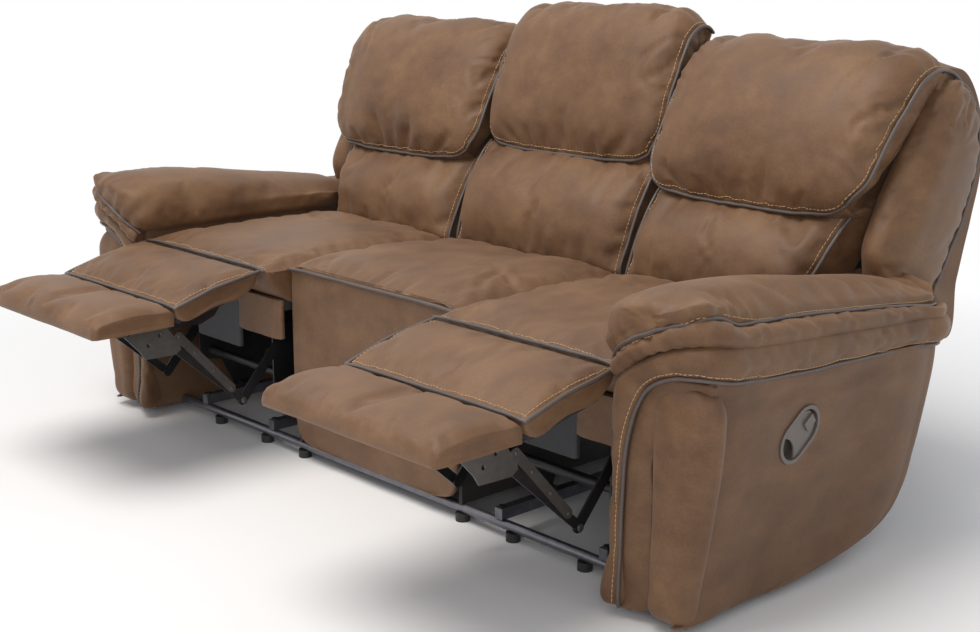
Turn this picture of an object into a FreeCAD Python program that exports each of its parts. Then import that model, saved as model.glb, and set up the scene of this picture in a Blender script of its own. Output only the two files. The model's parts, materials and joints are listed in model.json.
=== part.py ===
import FreeCAD, Part
import math
import os

# Three-seat reclining sofa: two powerless recliners, left and right, beside a fixed centre seat.
# Millimetres. X runs along the sofa, the front faces -Y and Z is up. The origin is on the floor,
# under the middle of the whole sofa with both footrests out.

V = FreeCAD.Vector

# Widths along X, measured from the middle of the sofa
centre_half_width = 298.0
seat_gap = 7.0
seat_width = 525.0
arm_gap = 5.0
arm_width = 169.0
arm_panel_lean = 0.088
arm_roll_bulge = 24.0
arm_lip = 32.0
pillar_inset = 82.0
wing_overlap = 90.0
wing_thickness = 70.0
lumbar_inset = 43.0
pillow_inset = 11.0
pillow_lobe = 54.0
seat_inner_x = centre_half_width + seat_gap
seat_outer_x = seat_inner_x + seat_width
arm_inner_x = seat_outer_x + arm_gap
arm_outer_foot_x = arm_inner_x + arm_width
wing_outer_x = arm_inner_x + wing_overlap
lumbar_outer_x = arm_inner_x - lumbar_inset

# Heights
floor_gap = 20.0
seat_rail_bottom = 372.0
seat_rail_top = 400.0
seat_rear_top = 462.0
seat_crown = 22.0
arm_board_top = 500.0

# Depths
seat_panel_y = -272.0
seat_panel_bottom = 250.0
seat_notch_height = 32.0
seat_rear_y = 243.0
centre_front_y = -245.0
arm_front_y = -318.0
arm_rear_y = 418.0
arm_pillar_proud = 26.0

# Sheet and board thicknesses
steel = 4.0
board = 15.0
thin_board = 10.0
panel_padding = 18.0
cover_gap = 0.3

# Chaise pad, hinged at the front welt of the seat
welt_radius = 4.2
chaise_hinge = (-323.0, 478.0)
chaise_slope = 11.9
chaise_length = 240.0
chaise_pad_thickness = 38.0
chaise_board_thickness = 12.0
chaise_board_start = 50.0
chaise_board_end = 228.0
chaise_rear_face_angle = 34.0
seat_front_face_angle = 26.0

# Footrest, hinged at the front of the chaise board
footrest_hinge = (-551.0, 385.0)
footrest_front_y = -765.0
footrest_rear_y = -563.0
footrest_underside = 385.0
footrest_board_thickness = 12.0
footrest_pad_thickness = 24.0
footrest_crown = 8.0

# Footrest linkage
torque_axis = (-189.0, 307.0)
knee = (-333.0, 145.0)
ottoman_pivot = (-516.0, 309.0)
link_width = 20.0
torque_tube_radius = 11.0
pin_radius = 5.0
pin_clearance = 0.3
plane_gap = 1.0
mech_half_spacing = 165.0

# Recline hinge and back shape; points are (y, z) at rest
recline_hinge = (300.0, 420.0)
recline_pin_radius = 6.0
back_foot = (372.0, 450.0)
back_tilt = 21.0
back_frame_length = 572.0
lumbar_length = 212.0
centre_back_foot = (400.0, 450.0)
centre_back_tilt = 15.0
centre_frame_length = 560.0
centre_lumbar_length = 258.0
back_rail = 30.0
back_swell = 19.0
centre_back_swell = 10.0
wing_middle = (560.0, 760.0)

# Base
tube_radius = 11.0
front_tube_y = -226.0
rear_tube_y = 330.0
tube_axis_z = 30.0
rail_width = 22.0
rail_height = 25.0
rail_gap = 2.5
glide_radius = 16.0
glide_insets = (-8.0, 152.0, 362.0)
bolt_radius = 4.0
bolt_head_radius = 8.0
bolt_head_height = 4.0

# Release handle in the outer side of each arm
handle_y = -41.0
handle_z = 336.0
handle_tilt = 38.0
cup_length = 116.0
cup_height = 76.0
cup_depth = 24.0
cup_wall = 2.5
cup_rim = 5.0
paddle_thickness = 4.0
paddle_gap = 1.2
paddle_axis = 40.0
paddle_sink = 1.0
paddle_tail = 7.0
paddle_swing = 38.0
paddle_drop = 9.0
paddle_barrel_radius = 3.0
paddle_pin_radius = 2.0
lug_inner = 18.0
lug_thickness = 3.0
finger_radius = 38.0
finger_room = 31.0

# Worked out from the driving sizes
module_middle = (seat_inner_x + seat_outer_x) / 2
plane_step = steel + plane_gap
cup_lean = math.degrees(math.atan(arm_panel_lean))


def panel_outer_x(z):
    return arm_outer_foot_x + arm_panel_lean * (z - floor_gap)


def along(origin, tilt, up, forward):
    """Point at a height up a tilted back and a distance in front of it."""
    lean = math.radians(tilt)
    y = origin[0] + up * math.sin(lean) - forward * math.cos(lean)
    z = origin[1] + up * math.cos(lean) + forward * math.sin(lean)
    return (y, z)


def in_yz(x, point):
    return V(x, point[0], point[1])


def in_xz(y, point):
    return V(point[0], y, point[1])


def in_xy(z, point):
    return V(point[0], point[1], z)


def box(x, y, z):
    """Box between pairs of limits."""
    return Part.makeBox(x[1] - x[0], y[1] - y[0], z[1] - z[0], V(x[0], y[0], z[0]))


def rod_x(centre, radius, x):
    return Part.makeCylinder(radius, x[1] - x[0], V(x[0], centre[0], centre[1]), V(1, 0, 0))


def rod_z(x, y, radius, z):
    return Part.makeCylinder(radius, z[1] - z[0], V(x, y, z[0]), V(0, 0, 1))


def middle_of(points):
    count = len(points)
    return (sum(p[0] for p in points) / count, sum(p[1] for p in points) / count)


def bulged_wire(place, station, points, bulges):
    """Closed outline whose sides swell outwards by the given rises."""
    centre = middle_of(points)
    edges = []
    for index, start in enumerate(points):
        end = points[(index + 1) % len(points)]
        rise = bulges[index]
        if abs(rise) < 0.01:
            edges.append(Part.LineSegment(place(station, start), place(station, end)).toShape())
            continue
        run = (end[0] - start[0], end[1] - start[1])
        length = math.hypot(*run)
        out = (run[1] / length, -run[0] / length)
        half = ((start[0] + end[0]) / 2, (start[1] + end[1]) / 2)
        if (half[0] - centre[0]) * out[0] + (half[1] - centre[1]) * out[1] < 0:
            out = (-out[0], -out[1])
        top = (half[0] + out[0] * rise, half[1] + out[1] * rise)
        arc = Part.Arc(place(station, start), place(station, top), place(station, end))
        edges.append(arc.toShape())
    return Part.Wire(edges)


def shrink(points, anchor, factor):
    return [(anchor[0] + (p[0] - anchor[0]) * factor, anchor[1] + (p[1] - anchor[1]) * factor)
            for p in points]


def plate_x(points, x):
    """Flat plate with a (y, z) outline between two values of x."""
    face = Part.Face(bulged_wire(in_yz, x[0], points, [0] * len(points)))
    return face.extrude(V(x[1] - x[0], 0, 0))


def bar_x(start, end, width, x):
    """Flat bar with round ends about two pivots."""
    run = (end[0] - start[0], end[1] - start[1])
    length = math.hypot(*run)
    side = (-run[1] / length * width / 2, run[0] / length * width / 2)
    ahead = (run[0] / length * width / 2, run[1] / length * width / 2)
    a = (start[0] + side[0], start[1] + side[1])
    b = (end[0] + side[0], end[1] + side[1])
    c = (end[0] - side[0], end[1] - side[1])
    d = (start[0] - side[0], start[1] - side[1])
    nose = (end[0] + ahead[0], end[1] + ahead[1])
    tail = (start[0] - ahead[0], start[1] - ahead[1])
    edges = [
        Part.LineSegment(in_yz(x[0], a), in_yz(x[0], b)).toShape(),
        Part.Arc(in_yz(x[0], b), in_yz(x[0], nose), in_yz(x[0], c)).toShape(),
        Part.LineSegment(in_yz(x[0], c), in_yz(x[0], d)).toShape(),
        Part.Arc(in_yz(x[0], d), in_yz(x[0], tail), in_yz(x[0], a)).toShape(),
    ]
    return Part.Face(Part.Wire(edges)).extrude(V(x[1] - x[0], 0, 0))


def cushion_x(x, points, bulges, anchor, draw_in):
    """Cushion along X: full and crowned in the middle, drawn in towards its ends."""
    wires = []
    for share in (0.0, 0.06, 0.2, 0.5, 0.8, 0.94, 1.0):
        off_middle = abs(2 * share - 1)
        factor = 1 - draw_in * off_middle ** 6
        crown = 1 - 0.45 * off_middle ** 2
        outline = shrink(points, anchor, factor)
        rises = [rise * crown for rise in bulges]
        wires.append(bulged_wire(in_yz, x[0] + share * (x[1] - x[0]), outline, rises))
    return Part.makeLoft(wires, True, True)


def plane_x(order, outer):
    """Limits in x of one layer of the linkage, on the outer or inner side of a recliner."""
    near = mech_half_spacing + order * plane_step
    if outer:
        return (module_middle + near, module_middle + near + steel)
    return (module_middle - near - steel, module_middle - near)


def both_planes(order):
    return [plane_x(order, True), plane_x(order, False)]


def mirrored(shape):
    return shape.mirror(V(0, 0, 0), V(1, 0, 0))


def save(name, solids):
    shape = solids[0] if len(solids) == 1 else Part.makeCompound(solids)
    shape.exportStep("parts/" + name + ".step")


def save_pair(name, solids):
    save(name + "_right", solids)
    save(name + "_left", [mirrored(solid) for solid in solids])


# Base

def rail_limits_x():
    """Limits in x of the two base rails under one recliner."""
    far = mech_half_spacing - rail_gap
    near = far - rail_width
    return [(module_middle + near, module_middle + far), (module_middle - far, module_middle - near)]


def rail_bottom():
    return tube_axis_z + tube_radius


def rail_top():
    return rail_bottom() + rail_height


def bolt_places():
    places = []
    for limits in rail_limits_x():
        x = (limits[0] + limits[1]) / 2
        for side in (1, -1):
            places.append((side * x, front_tube_y))
            places.append((side * x, rear_tube_y))
    return places


def base_frame():
    solids = []
    for y in (front_tube_y, rear_tube_y):
        solids.append(rod_x((y, tube_axis_z), tube_radius, (-arm_inner_x, arm_inner_x)))
    for limits in rail_limits_x():
        rail = box(limits, (front_tube_y - tube_radius, rear_tube_y + tube_radius),
                   (rail_bottom(), rail_top()))
        x = (limits[0] + limits[1]) / 2
        for y in (front_tube_y, rear_tube_y):
            rail = rail.cut(rod_z(x, y, bolt_radius + pin_clearance, (0, rail_top() + 1)))
        solids.append(rail)
        solids.append(mirrored(rail))
    return solids


def frame_bolts():
    bolts = []
    for x, y in bolt_places():
        shank = rod_z(x, y, bolt_radius, (rail_bottom(), rail_top()))
        head = rod_z(x, y, bolt_head_radius, (rail_top(), rail_top() + bolt_head_height))
        bolts.append(shank.fuse(head).removeSplitter())
    return bolts


def floor_glides():
    glides = []
    tube_bottom = tube_axis_z - tube_radius
    for inset in glide_insets:
        for side in (1, -1):
            for y in (front_tube_y, rear_tube_y):
                x = side * (centre_half_width + inset)
                glides.append(rod_z(x, y, glide_radius, (0, tube_bottom)))
    arm_middle = (arm_inner_x + arm_outer_foot_x) / 2
    for side in (1, -1):
        for y in (arm_front_y + 45, 225):
            glides.append(rod_z(side * arm_middle, y, glide_radius, (0, arm_floor())))
    return glides


# Arms

def arm_floor():
    return floor_gap + panel_padding


def arm_inner_edge():
    return arm_inner_x + board


def arm_frame():
    """Boards inside one arm."""
    inner = arm_inner_edge()
    outer = arm_outer_foot_x - panel_padding
    deep = (arm_front_y, arm_rear_y)
    floor = arm_floor()
    bottom = box((inner, outer), (deep[0], 250), (floor, floor + board))
    front = box((inner, outer), (deep[0], deep[0] + board), (floor + board, arm_board_top - board))
    rear = box((inner, outer), (deep[1] - 2 * board, deep[1] - board), (260, 425))
    low = box((inner, inner + board), (250, deep[1] - 2 * board), (260, 300))
    post = box((inner, inner + board), (250 - board, 250), (floor + board, 400))
    top = box((inner, inner + 80), (deep[0], 330), (arm_board_top - board, arm_board_top))
    return [bottom, front, rear, low, post, top]


def arm_inner_panel():
    outline = [
        (arm_front_y, floor_gap),
        (250, floor_gap + 12),
        (360, 112),
        (400, 250),
        (arm_rear_y - 8, 340),
        (arm_rear_y - 8, 440),
        (340, arm_board_top),
        (arm_front_y, arm_board_top),
    ]
    return plate_x(outline, (arm_inner_x, arm_inner_edge()))


def lower_seam_z(y):
    """Height of the seam under the arm's side roll."""
    if y < -11:
        return 495 + (y + 307) * (465 - 495) / (307 - 11)
    return 465 + (y + 11) * (425 - 465) / (416 + 11)


def upper_seam_z(y):
    """Height of the welt under the arm's top pad."""
    if y < -80:
        return 592 + (y + 256) * (559 - 592) / (256 - 80)
    return 559 + (y + 80) * (508 - 559) / (376 + 80)


def crest_z(y):
    """Height of the arm's top."""
    if y < 100:
        return 658 + (y + 310) * (613 - 658) / 410
    return 613 + (y - 100) * (566 - 613) / 300


def arm_outer_panel():
    outline = [
        (arm_front_y, floor_gap),
        (0, floor_gap),
        (250, 34),
        (325, 62),
        (366, 112),
        (407, 244),
        (arm_rear_y, 340),
        (arm_rear_y + 3, lower_seam_z(arm_rear_y)),
        (-11, lower_seam_z(-11)),
        (arm_front_y, lower_seam_z(-307)),
    ]
    prism = plate_x(outline, (arm_outer_foot_x - 60, arm_outer_foot_x + 80))
    low = (arm_outer_foot_x - panel_padding, floor_gap)
    top_z = lower_seam_z(-307) + 20
    corners = [
        low,
        (arm_outer_foot_x, floor_gap),
        (panel_outer_x(top_z), top_z),
        (panel_outer_x(top_z) - panel_padding, top_z),
    ]
    wire = bulged_wire(in_xz, arm_front_y - 10, corners, [0, 0, 0, 0])
    slab = Part.Face(wire).extrude(V(0, 820, 0))
    return prism.common(slab).cut(place_handle(cup_block(cup_gap_out=cover_gap)))


def arm_front_pillar():
    """Padded front post beside a flat inner strip."""
    stations = (floor_gap, 60, 170, 325, 420, 462)
    seam_x = arm_inner_x + pillar_inset
    wires = []
    for z in stations:
        outer = min(panel_outer_x(z) + 12, arm_seam_x() + 29)
        near_end = 8 if z in (stations[0], stations[-1]) else 0
        corners = [
            (seam_x + near_end, arm_front_y),
            (seam_x + near_end, arm_front_y - 12),
            (outer - near_end, arm_front_y - 12),
            (outer - near_end, arm_front_y),
        ]
        wires.append(bulged_wire(in_xy, z, corners, [0, arm_pillar_proud - 12 - near_end, 0, 0]))
    pillar = Part.makeLoft(wires, True, True)
    strip = box((arm_inner_x, seam_x), (arm_front_y - thin_board, arm_front_y), (floor_gap, 455))
    return [pillar, strip]


def arm_seam_x():
    return arm_outer_foot_x + 26


def pad_floor_z(x, y):
    """Underside of the top pad, a slope from the inner panel to the outer welt."""
    inner_x = arm_inner_x + 3
    inner_z = arm_board_top + cover_gap
    return inner_z + (x - inner_x) * (upper_seam_z(y) - inner_z) / (arm_seam_x() - inner_x)


def arm_side_roll():
    wires = []
    inner = arm_inner_edge() + 84
    stations = (arm_front_y - 24, arm_front_y, -250, -80, 100, 300, arm_rear_y, arm_rear_y + 14)
    for y in stations:
        end = 10 if y in (stations[0], stations[-1]) else 0
        low = lower_seam_z(max(y, -307)) + cover_gap
        corners = [
            (inner, low + end),
            (panel_outer_x(low) - end, low + end),
            (arm_seam_x() - end, pad_floor_z(arm_seam_x(), max(y, -256)) - cover_gap - end / 2),
            (inner, pad_floor_z(inner, max(y, -256)) - cover_gap - end / 2),
        ]
        wires.append(bulged_wire(in_xz, y, corners, [0, arm_roll_bulge - end, 0, 0]))
    return Part.makeLoft(wires, True, True)


def arm_top_pad():
    wires = []
    stations = (arm_front_y - 26, arm_front_y - 12, -256, -80, 100, 290, arm_rear_y - 16, arm_rear_y + 10)
    for y in stations:
        seam_y = max(y, -256)
        end = {stations[0]: 26, stations[1]: 8, stations[-1]: 40, stations[-2]: 4}.get(y, 0)
        crest = crest_z(y) - end
        corners = [
            (arm_inner_x + 3, pad_floor_z(arm_inner_x + 3, seam_y)),
            (arm_inner_x - arm_lip + end / 2, 540 - end / 4),
            (arm_inner_x + 31, crest - 10),
            (arm_seam_x() - 30, crest - 16),
            (arm_seam_x(), pad_floor_z(arm_seam_x(), seam_y)),
        ]
        wires.append(bulged_wire(in_xz, y, corners, [3, 8, 12, 5, 0]))
    return Part.makeLoft(wires, True, True)


# Release handle. Built lying in its own frame: x out of the arm, y along the oval.

def oval(length, height, x):
    """Oval plate between two values of x."""
    radius = height / 2
    reach = length / 2 - radius
    return bar_x((-reach, 0), (reach, 0), 2 * radius, x)


def cup_block(cup_gap_out):
    gap = 2 * cup_gap_out
    return oval(cup_length + gap, cup_height + gap, (-cup_depth - 20, 30))


def place_handle(shape):
    shape = shape.copy()
    shape.rotate(V(0, 0, 0), V(1, 0, 0), handle_tilt)
    shape.rotate(V(0, 0, 0), V(0, 1, 0), cup_lean)
    shape.translate(V(panel_outer_x(handle_z), handle_y, handle_z))
    return shape


def handle_cup():
    body = oval(cup_length, cup_height, (-cup_depth, 0))
    flange = oval(cup_length + 2 * cup_rim, cup_height + 2 * cup_rim, (cover_gap, 3))
    inner_length = cup_length - 2 * cup_wall
    inner_height = cup_height - 2 * cup_wall
    neck = oval(cup_length, cup_height, (0, cover_gap))
    hollow = oval(inner_length, inner_height, (-cup_depth + cup_wall, 5))
    cup = body.fuse(neck).fuse(flange).removeSplitter().cut(hollow)
    x, y = paddle_pivot()
    reach = paddle_pin_radius + 2
    for z in (lug_inner, -lug_inner - lug_thickness):
        lug = box((-cup_depth + cup_wall, x), (y - reach, y + reach), (z, z + lug_thickness))
        cup = cup.fuse(lug).fuse(rod_z(x, y, reach, (z, z + lug_thickness)))
    bore = paddle_pin_radius + pin_clearance
    cup = cup.cut(rod_z(x, y, bore, (-lug_inner - lug_thickness - 1, lug_inner + lug_thickness + 1)))
    return place_handle(cup.removeSplitter())


def paddle_pivot():
    return (-paddle_sink - paddle_drop, paddle_axis)


def paddle():
    """Oval paddle with its front end cut back to leave room for the fingers."""
    length = cup_length - 2 * cup_wall - 2 * paddle_gap
    height = cup_height - 2 * cup_wall - 2 * paddle_gap
    top = -paddle_sink
    plate = oval(length, height, (top - paddle_thickness, top))
    middle = finger_room - length / 2 - finger_radius
    plate = plate.cut(rod_x((middle, 0), finger_radius, (-30, 10)))
    plate = plate.cut(box((-30, 10), (paddle_axis + paddle_tail, length), (-height, height)))
    x, y = paddle_pivot()
    for share in (0.5, 1.0):
        room = oval(length, height, (-cup_depth, 2 * length))
        room.rotate(V(x, y, 0), V(0, 0, 1), -share * paddle_swing)
        plate = plate.common(room)
    tab = box((top, top + 5), (paddle_axis - 22, paddle_axis + 6), (-11, 11))
    side = lug_inner - pin_clearance
    pin_end = lug_inner + lug_thickness
    barrel = rod_z(x, y, paddle_barrel_radius, (-side, side))
    pin = rod_z(x, y, paddle_pin_radius, (-pin_end, pin_end))
    web = box((x, top), (y - paddle_pin_radius, y + paddle_pin_radius), (-side, side))
    whole = plate.fuse(tab).fuse(web).fuse(barrel).fuse(pin).removeSplitter()
    return place_handle(whole)


# Seats

def seat_front_face():
    """Top and foot of the sloping face of the seat behind its front welt."""
    lean = math.radians(seat_front_face_angle)
    reach = welt_radius + cover_gap
    y = chaise_hinge[0] + reach * math.cos(lean)
    z = chaise_hinge[1] + reach * math.sin(lean)
    drop = z - seat_rail_top - 26
    return (y, z), (y + drop * math.tan(lean), z - drop)


def seat_cushion():
    top, foot = seat_front_face()
    corners = [
        top,
        foot,
        (seat_panel_y, seat_rail_top),
        (seat_rear_y, seat_rail_top),
        (seat_rear_y, seat_rear_top),
    ]
    anchor = ((top[0] + seat_rear_y) / 2, seat_rail_top)
    body = cushion_x((seat_inner_x, seat_outer_x), corners, [0, 0, 0, 5, seat_crown], anchor, 0.02)
    return body


def seat_welt():
    return rod_x(chaise_hinge, welt_radius, (seat_inner_x + 12, seat_outer_x - 12))


def seat_frame():
    inner = seat_inner_x + 4
    outer = seat_outer_x - 4
    rail = 28.0
    z = (seat_rail_bottom, seat_rail_top)
    front_y = seat_panel_y + thin_board
    solids = []
    for x in ((inner, inner + rail), (outer - rail, outer)):
        solids.append(box(x, (front_y, seat_rear_y), z))
    cross = (inner + rail, outer - rail)
    solids.append(box(cross, (front_y, front_y + 40), z))
    solids.append(box(cross, (seat_rear_y - 40, seat_rear_y), z))
    return solids


def springs(x, y):
    """Row of straight spring wires under a cushion, hooked to the front and rear rails."""
    wires = []
    count = 6
    wire_radius = 2.0
    for index in range(count):
        place = x[0] + (index + 0.5) * (x[1] - x[0]) / count
        axis_z = seat_rail_top - wire_radius
        wires.append(Part.makeCylinder(wire_radius, y[1] - y[0], V(place, y[0], axis_z), V(0, 1, 0)))
    return wires


def seat_springs():
    inner = seat_inner_x + 32
    outer = seat_outer_x - 32
    return springs((inner, outer), (seat_panel_y + thin_board + 40, seat_rear_y - 40))


def seat_front_panel():
    """Upholstered panel under the front of the seat, notched where the links pass."""
    panel = box((seat_inner_x + 1, seat_outer_x - 1), (seat_panel_y, seat_panel_y + thin_board),
                (seat_panel_bottom, seat_rail_top))
    side = plane_step * 5 + 14
    for outer in (True, False):
        first = plane_x(0, outer)
        x = (first[0] - 6, first[0] + side) if outer else (first[1] - side, first[1] + 6)
        notch_z = (seat_panel_bottom - 1, seat_panel_bottom + seat_notch_height)
        notch = box(x, (seat_panel_y - 1, seat_panel_y + thin_board + 1), notch_z)
        panel = panel.cut(notch)
    return panel


def side_plate_outline():
    foot = rail_top() + 2
    return [
        (seat_panel_y + thin_board + 4, seat_rail_bottom),
        (-236, 290),
        (-236, 162),
        (-172, 150),
        (-130, foot),
        (-60, foot),
        (-30, 150),
        (110, 150),
        (140, foot),
        (210, foot),
        (226, 150),
        (226, seat_rail_bottom),
    ]


def mechanism_plates():
    """Side plates, cross tube, running shoes and back hinge brackets of one recliner."""
    solids = []
    bore = torque_tube_radius + pin_clearance
    for x in both_planes(0):
        plate = plate_x(side_plate_outline(), x)
        hole = rod_x(torque_axis, bore, (x[0] - 1, x[1] + 1))
        solids.append(plate.cut(hole))
    inner_plate, outer_plate = plane_x(0, False), plane_x(0, True)
    solids.append(rod_x((-203, 182), tube_radius, (inner_plate[1], outer_plate[0])))
    for limits, toward in ((outer_plate, -1), (inner_plate, 1)):
        for y in ((-120, -70), (150, 200)):
            face = limits[0] if toward < 0 else limits[1]
            x = sorted((face, face + toward * (rail_width + rail_gap)))
            solids.append(box(x, y, (rail_top() + cover_gap, rail_top() + 12)))
    for x, pin in back_bracket_limits():
        outline = [
            (seat_rear_y, seat_rail_bottom),
            (seat_rear_y, seat_rail_top - 1),
            (258, seat_rail_top + 2),
            (282, 438),
            (318, 438),
            (322, 408),
            (300, 382),
            (270, seat_rail_bottom),
        ]
        bracket = plate_x(outline, x).fuse(rod_x(recline_hinge, recline_pin_radius, pin))
        solids.append(bracket.removeSplitter())
    return solids


def cheek_limits():
    """Limits in x of the inner and outer cheek boards of a recliner's back."""
    return (seat_inner_x + 20, seat_inner_x + 20 + board), (lumbar_outer_x - 22, lumbar_outer_x - 22 + board)


def back_bracket_limits():
    """Limits in x of each back hinge bracket and of its pin."""
    inner, outer = cheek_limits()
    return [
        ((inner[1] + plane_gap, inner[1] + plane_gap + steel), (inner[0] - 3, inner[1] + plane_gap + steel)),
        ((outer[0] - plane_gap - steel, outer[0] - plane_gap), (outer[0] - plane_gap - steel, outer[1] + 3)),
    ]


# Chaise, footrest and their linkage

def chaise_point(out, down):
    """Point of the chaise pad, out from its hinge and down from its top."""
    lean = math.radians(chaise_slope)
    y = chaise_hinge[0] - out * math.cos(lean) + down * math.sin(lean)
    z = chaise_hinge[1] - out * math.sin(lean) - down * math.cos(lean)
    return (y, z)


def chaise_pad():
    lean = math.radians(chaise_rear_face_angle)
    reach = welt_radius + cover_gap
    top = (chaise_hinge[0] - reach * math.cos(lean), chaise_hinge[1] + reach * math.sin(lean))
    rear_foot = chaise_point(46, chaise_pad_thickness)
    front_foot = chaise_point(chaise_length - 6, chaise_pad_thickness - 4)
    front_top = chaise_point(chaise_length, 4)
    corners = [top, rear_foot, chaise_point(chaise_board_end, chaise_pad_thickness), front_foot, front_top]
    anchor = chaise_point(chaise_length / 2, chaise_pad_thickness)
    return cushion_x((seat_inner_x + 12, seat_outer_x), corners, [0, 0, 0, 2, 6], anchor, 0.02)


def chaise_board_underside():
    return chaise_pad_thickness + chaise_board_thickness


def chaise_board():
    low = chaise_board_underside()
    corners = [
        chaise_point(chaise_board_start, chaise_pad_thickness),
        chaise_point(chaise_board_start, low),
        chaise_point(chaise_board_end, low),
        chaise_point(chaise_board_end, chaise_pad_thickness),
    ]
    return [plate_x(corners, (seat_inner_x + 30, seat_outer_x - 18))]


def chaise_brackets():
    """Plates under the chaise board that carry the footrest's hinge."""
    low = chaise_board_underside()
    lean = math.radians(chaise_slope)
    back = chaise_hinge[0] - footrest_hinge[0]
    drop = chaise_hinge[1] - footrest_hinge[1]
    hinge_out = back * math.cos(lean) + drop * math.sin(lean)
    hinge_down = drop * math.cos(lean) - back * math.sin(lean)
    outline = [
        chaise_point(70, low),
        chaise_point(chaise_board_end + 1, low),
        chaise_point(hinge_out, hinge_down - 8),
        chaise_point(hinge_out + 4, hinge_down + 6),
        chaise_point(hinge_out - 14, low + 22),
        chaise_point(150, low + 40),
        chaise_point(110, low + 34),
    ]
    solids = []
    for x in both_planes(4):
        ear = rod_x(footrest_hinge, link_width / 2, x)
        bracket = plate_x(outline, x).fuse(ear)
        bore = rod_x(footrest_hinge, pin_radius + pin_clearance, (x[0] - 1, x[1] + 1))
        solids.append(bracket.cut(bore).removeSplitter())
    return solids


def footrest_board():
    z = (footrest_underside, footrest_underside + footrest_board_thickness)
    return box((seat_inner_x + 24, seat_outer_x - 12), (footrest_front_y + 16, footrest_rear_y), z)


def footrest_pad():
    low = footrest_underside + footrest_board_thickness
    top = low + footrest_pad_thickness
    corners = [
        (footrest_front_y + 8, low),
        (footrest_rear_y + 2, low),
        (footrest_rear_y, top),
        (footrest_front_y + 8, top - 4),
    ]
    anchor = ((footrest_front_y + footrest_rear_y) / 2, low)
    return cushion_x((seat_inner_x + 13, seat_outer_x), corners, [0, 1, footrest_crown, 8], anchor, 0.03)


def footrest_brackets():
    """Plates under the footrest, each with an ear at the chaise hinge and an arm to the link."""
    low = footrest_underside
    outline = [
        (footrest_hinge[0] - 8, low),
        (-735, low),
        (-735, low - 10),
        (-650, low - 26),
        (-612, 318),
        (-600, 298),
        (-520, 296),
        (-504, 306),
        (-508, 322),
        (footrest_hinge[0] + 8, low - 16),
    ]
    solids = []
    for x, neighbour in zip(both_planes(3), both_planes(4)):
        plate = plate_x(outline, x).fuse(rod_x(footrest_hinge, link_width / 2, x))
        for hole in ((-640, 366), (-590, 330), (-560, 350)):
            plate = plate.cut(rod_x(hole, 5, (x[0] - 1, x[1] + 1)))
        pin = rod_x(footrest_hinge, pin_radius, (min(x[0], neighbour[0]), max(x[1], neighbour[1])))
        solids.append(plate.fuse(pin).removeSplitter())
    return solids


def torque_tube():
    """Tube that turns in the side plates and carries the two cranks."""
    limits = both_planes(1)
    solids = [rod_x(torque_axis, torque_tube_radius, (limits[1][1], limits[0][0]))]
    for x, link_x in zip(limits, both_planes(2)):
        crank = bar_x(torque_axis, knee, link_width + 6, x)
        pin = rod_x(knee, pin_radius, (min(x[0], link_x[0]), max(x[1], link_x[1])))
        solids.append(crank.fuse(pin).removeSplitter())
    return solids


def scissor_links():
    solids = []
    for x in both_planes(2):
        link = bar_x(knee, ottoman_pivot, link_width, x)
        bore = rod_x(knee, pin_radius + pin_clearance, (x[0] - 1, x[1] + 1))
        solids.append(link.cut(bore))
    return solids


# Backs of the recliners

def beside_top(behind, above):
    """Point behind and above the top of a recliner's back frame."""
    top = along(back_foot, back_tilt, back_frame_length, 0)
    return (top[0] + behind, top[1] + above)


def cover_inner_line():
    """Front side of the rear cover, from its foot to its top."""
    lower = [(549, 486), (594, 521), (675, 640), (720, 745), (724, 802), (702, 882)]
    return lower + [beside_top(65, -22), beside_top(19, 16)]


def cover_outer_line():
    lower = [(632, 376), (677, 505), (722, 646), (744, 744), (740, 812), (714, 893)]
    return lower + [beside_top(78, -7), beside_top(25, 34)]


def pillow_side_line():
    """Line where a pillow's outer side meets the wing behind it, from the bottom up."""
    return [(382, 668), (430, 745), (487, 827), (526, 890), (556, 950)]


def back_frame():
    outline = [
        (278, 408),
        (300, 398),
        (330, 398),
        (545, 483),
        (590, 519),
        (671, 640),
        (716, 745),
        (720, 800),
        (698, 880),
        beside_top(61, -26),
        beside_top(0, 0),
        back_foot,
        (320, 440),
        (282, 440),
    ]
    solids = []
    inner, outer = cheek_limits()
    for x in (inner, outer):
        cheek = plate_x(outline, x)
        bore = rod_x(recline_hinge, recline_pin_radius + pin_clearance, (x[0] - 1, x[1] + 1))
        solids.append(cheek.cut(bore))
    span = (inner[1], outer[0])
    for up in (20.0, lumbar_length, back_frame_length - 45):
        corners = [
            along(back_foot, back_tilt, up, 0),
            along(back_foot, back_tilt, up + 40, 0),
            along(back_foot, back_tilt, up + 40, -back_rail),
            along(back_foot, back_tilt, up, -back_rail),
        ]
        solids.append(plate_x(corners, span))
    wing_inner = wing_outer_x - wing_thickness
    for centre in ((545, 700), (610, 900)):
        y = (centre[0] - 30, centre[0] + 30)
        z = (centre[1] - 20, centre[1] + 20)
        solids.append(box((outer[1], wing_inner), y, z))
    return solids


def wing_stations():
    """Values of x across the thickness of a wing, closer towards its rounded outer side."""
    return [wing_outer_x - wing_thickness * share for share in (1.0, 0.5, 0.25, 0.1, 0.0)]


def side_rounding(x):
    """How far the outline of a back shrinks where its outer side rounds over."""
    share = max(0.0, 1 - (wing_outer_x - x) / wing_thickness)
    return 1 - 0.075 * share ** 2.5


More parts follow.
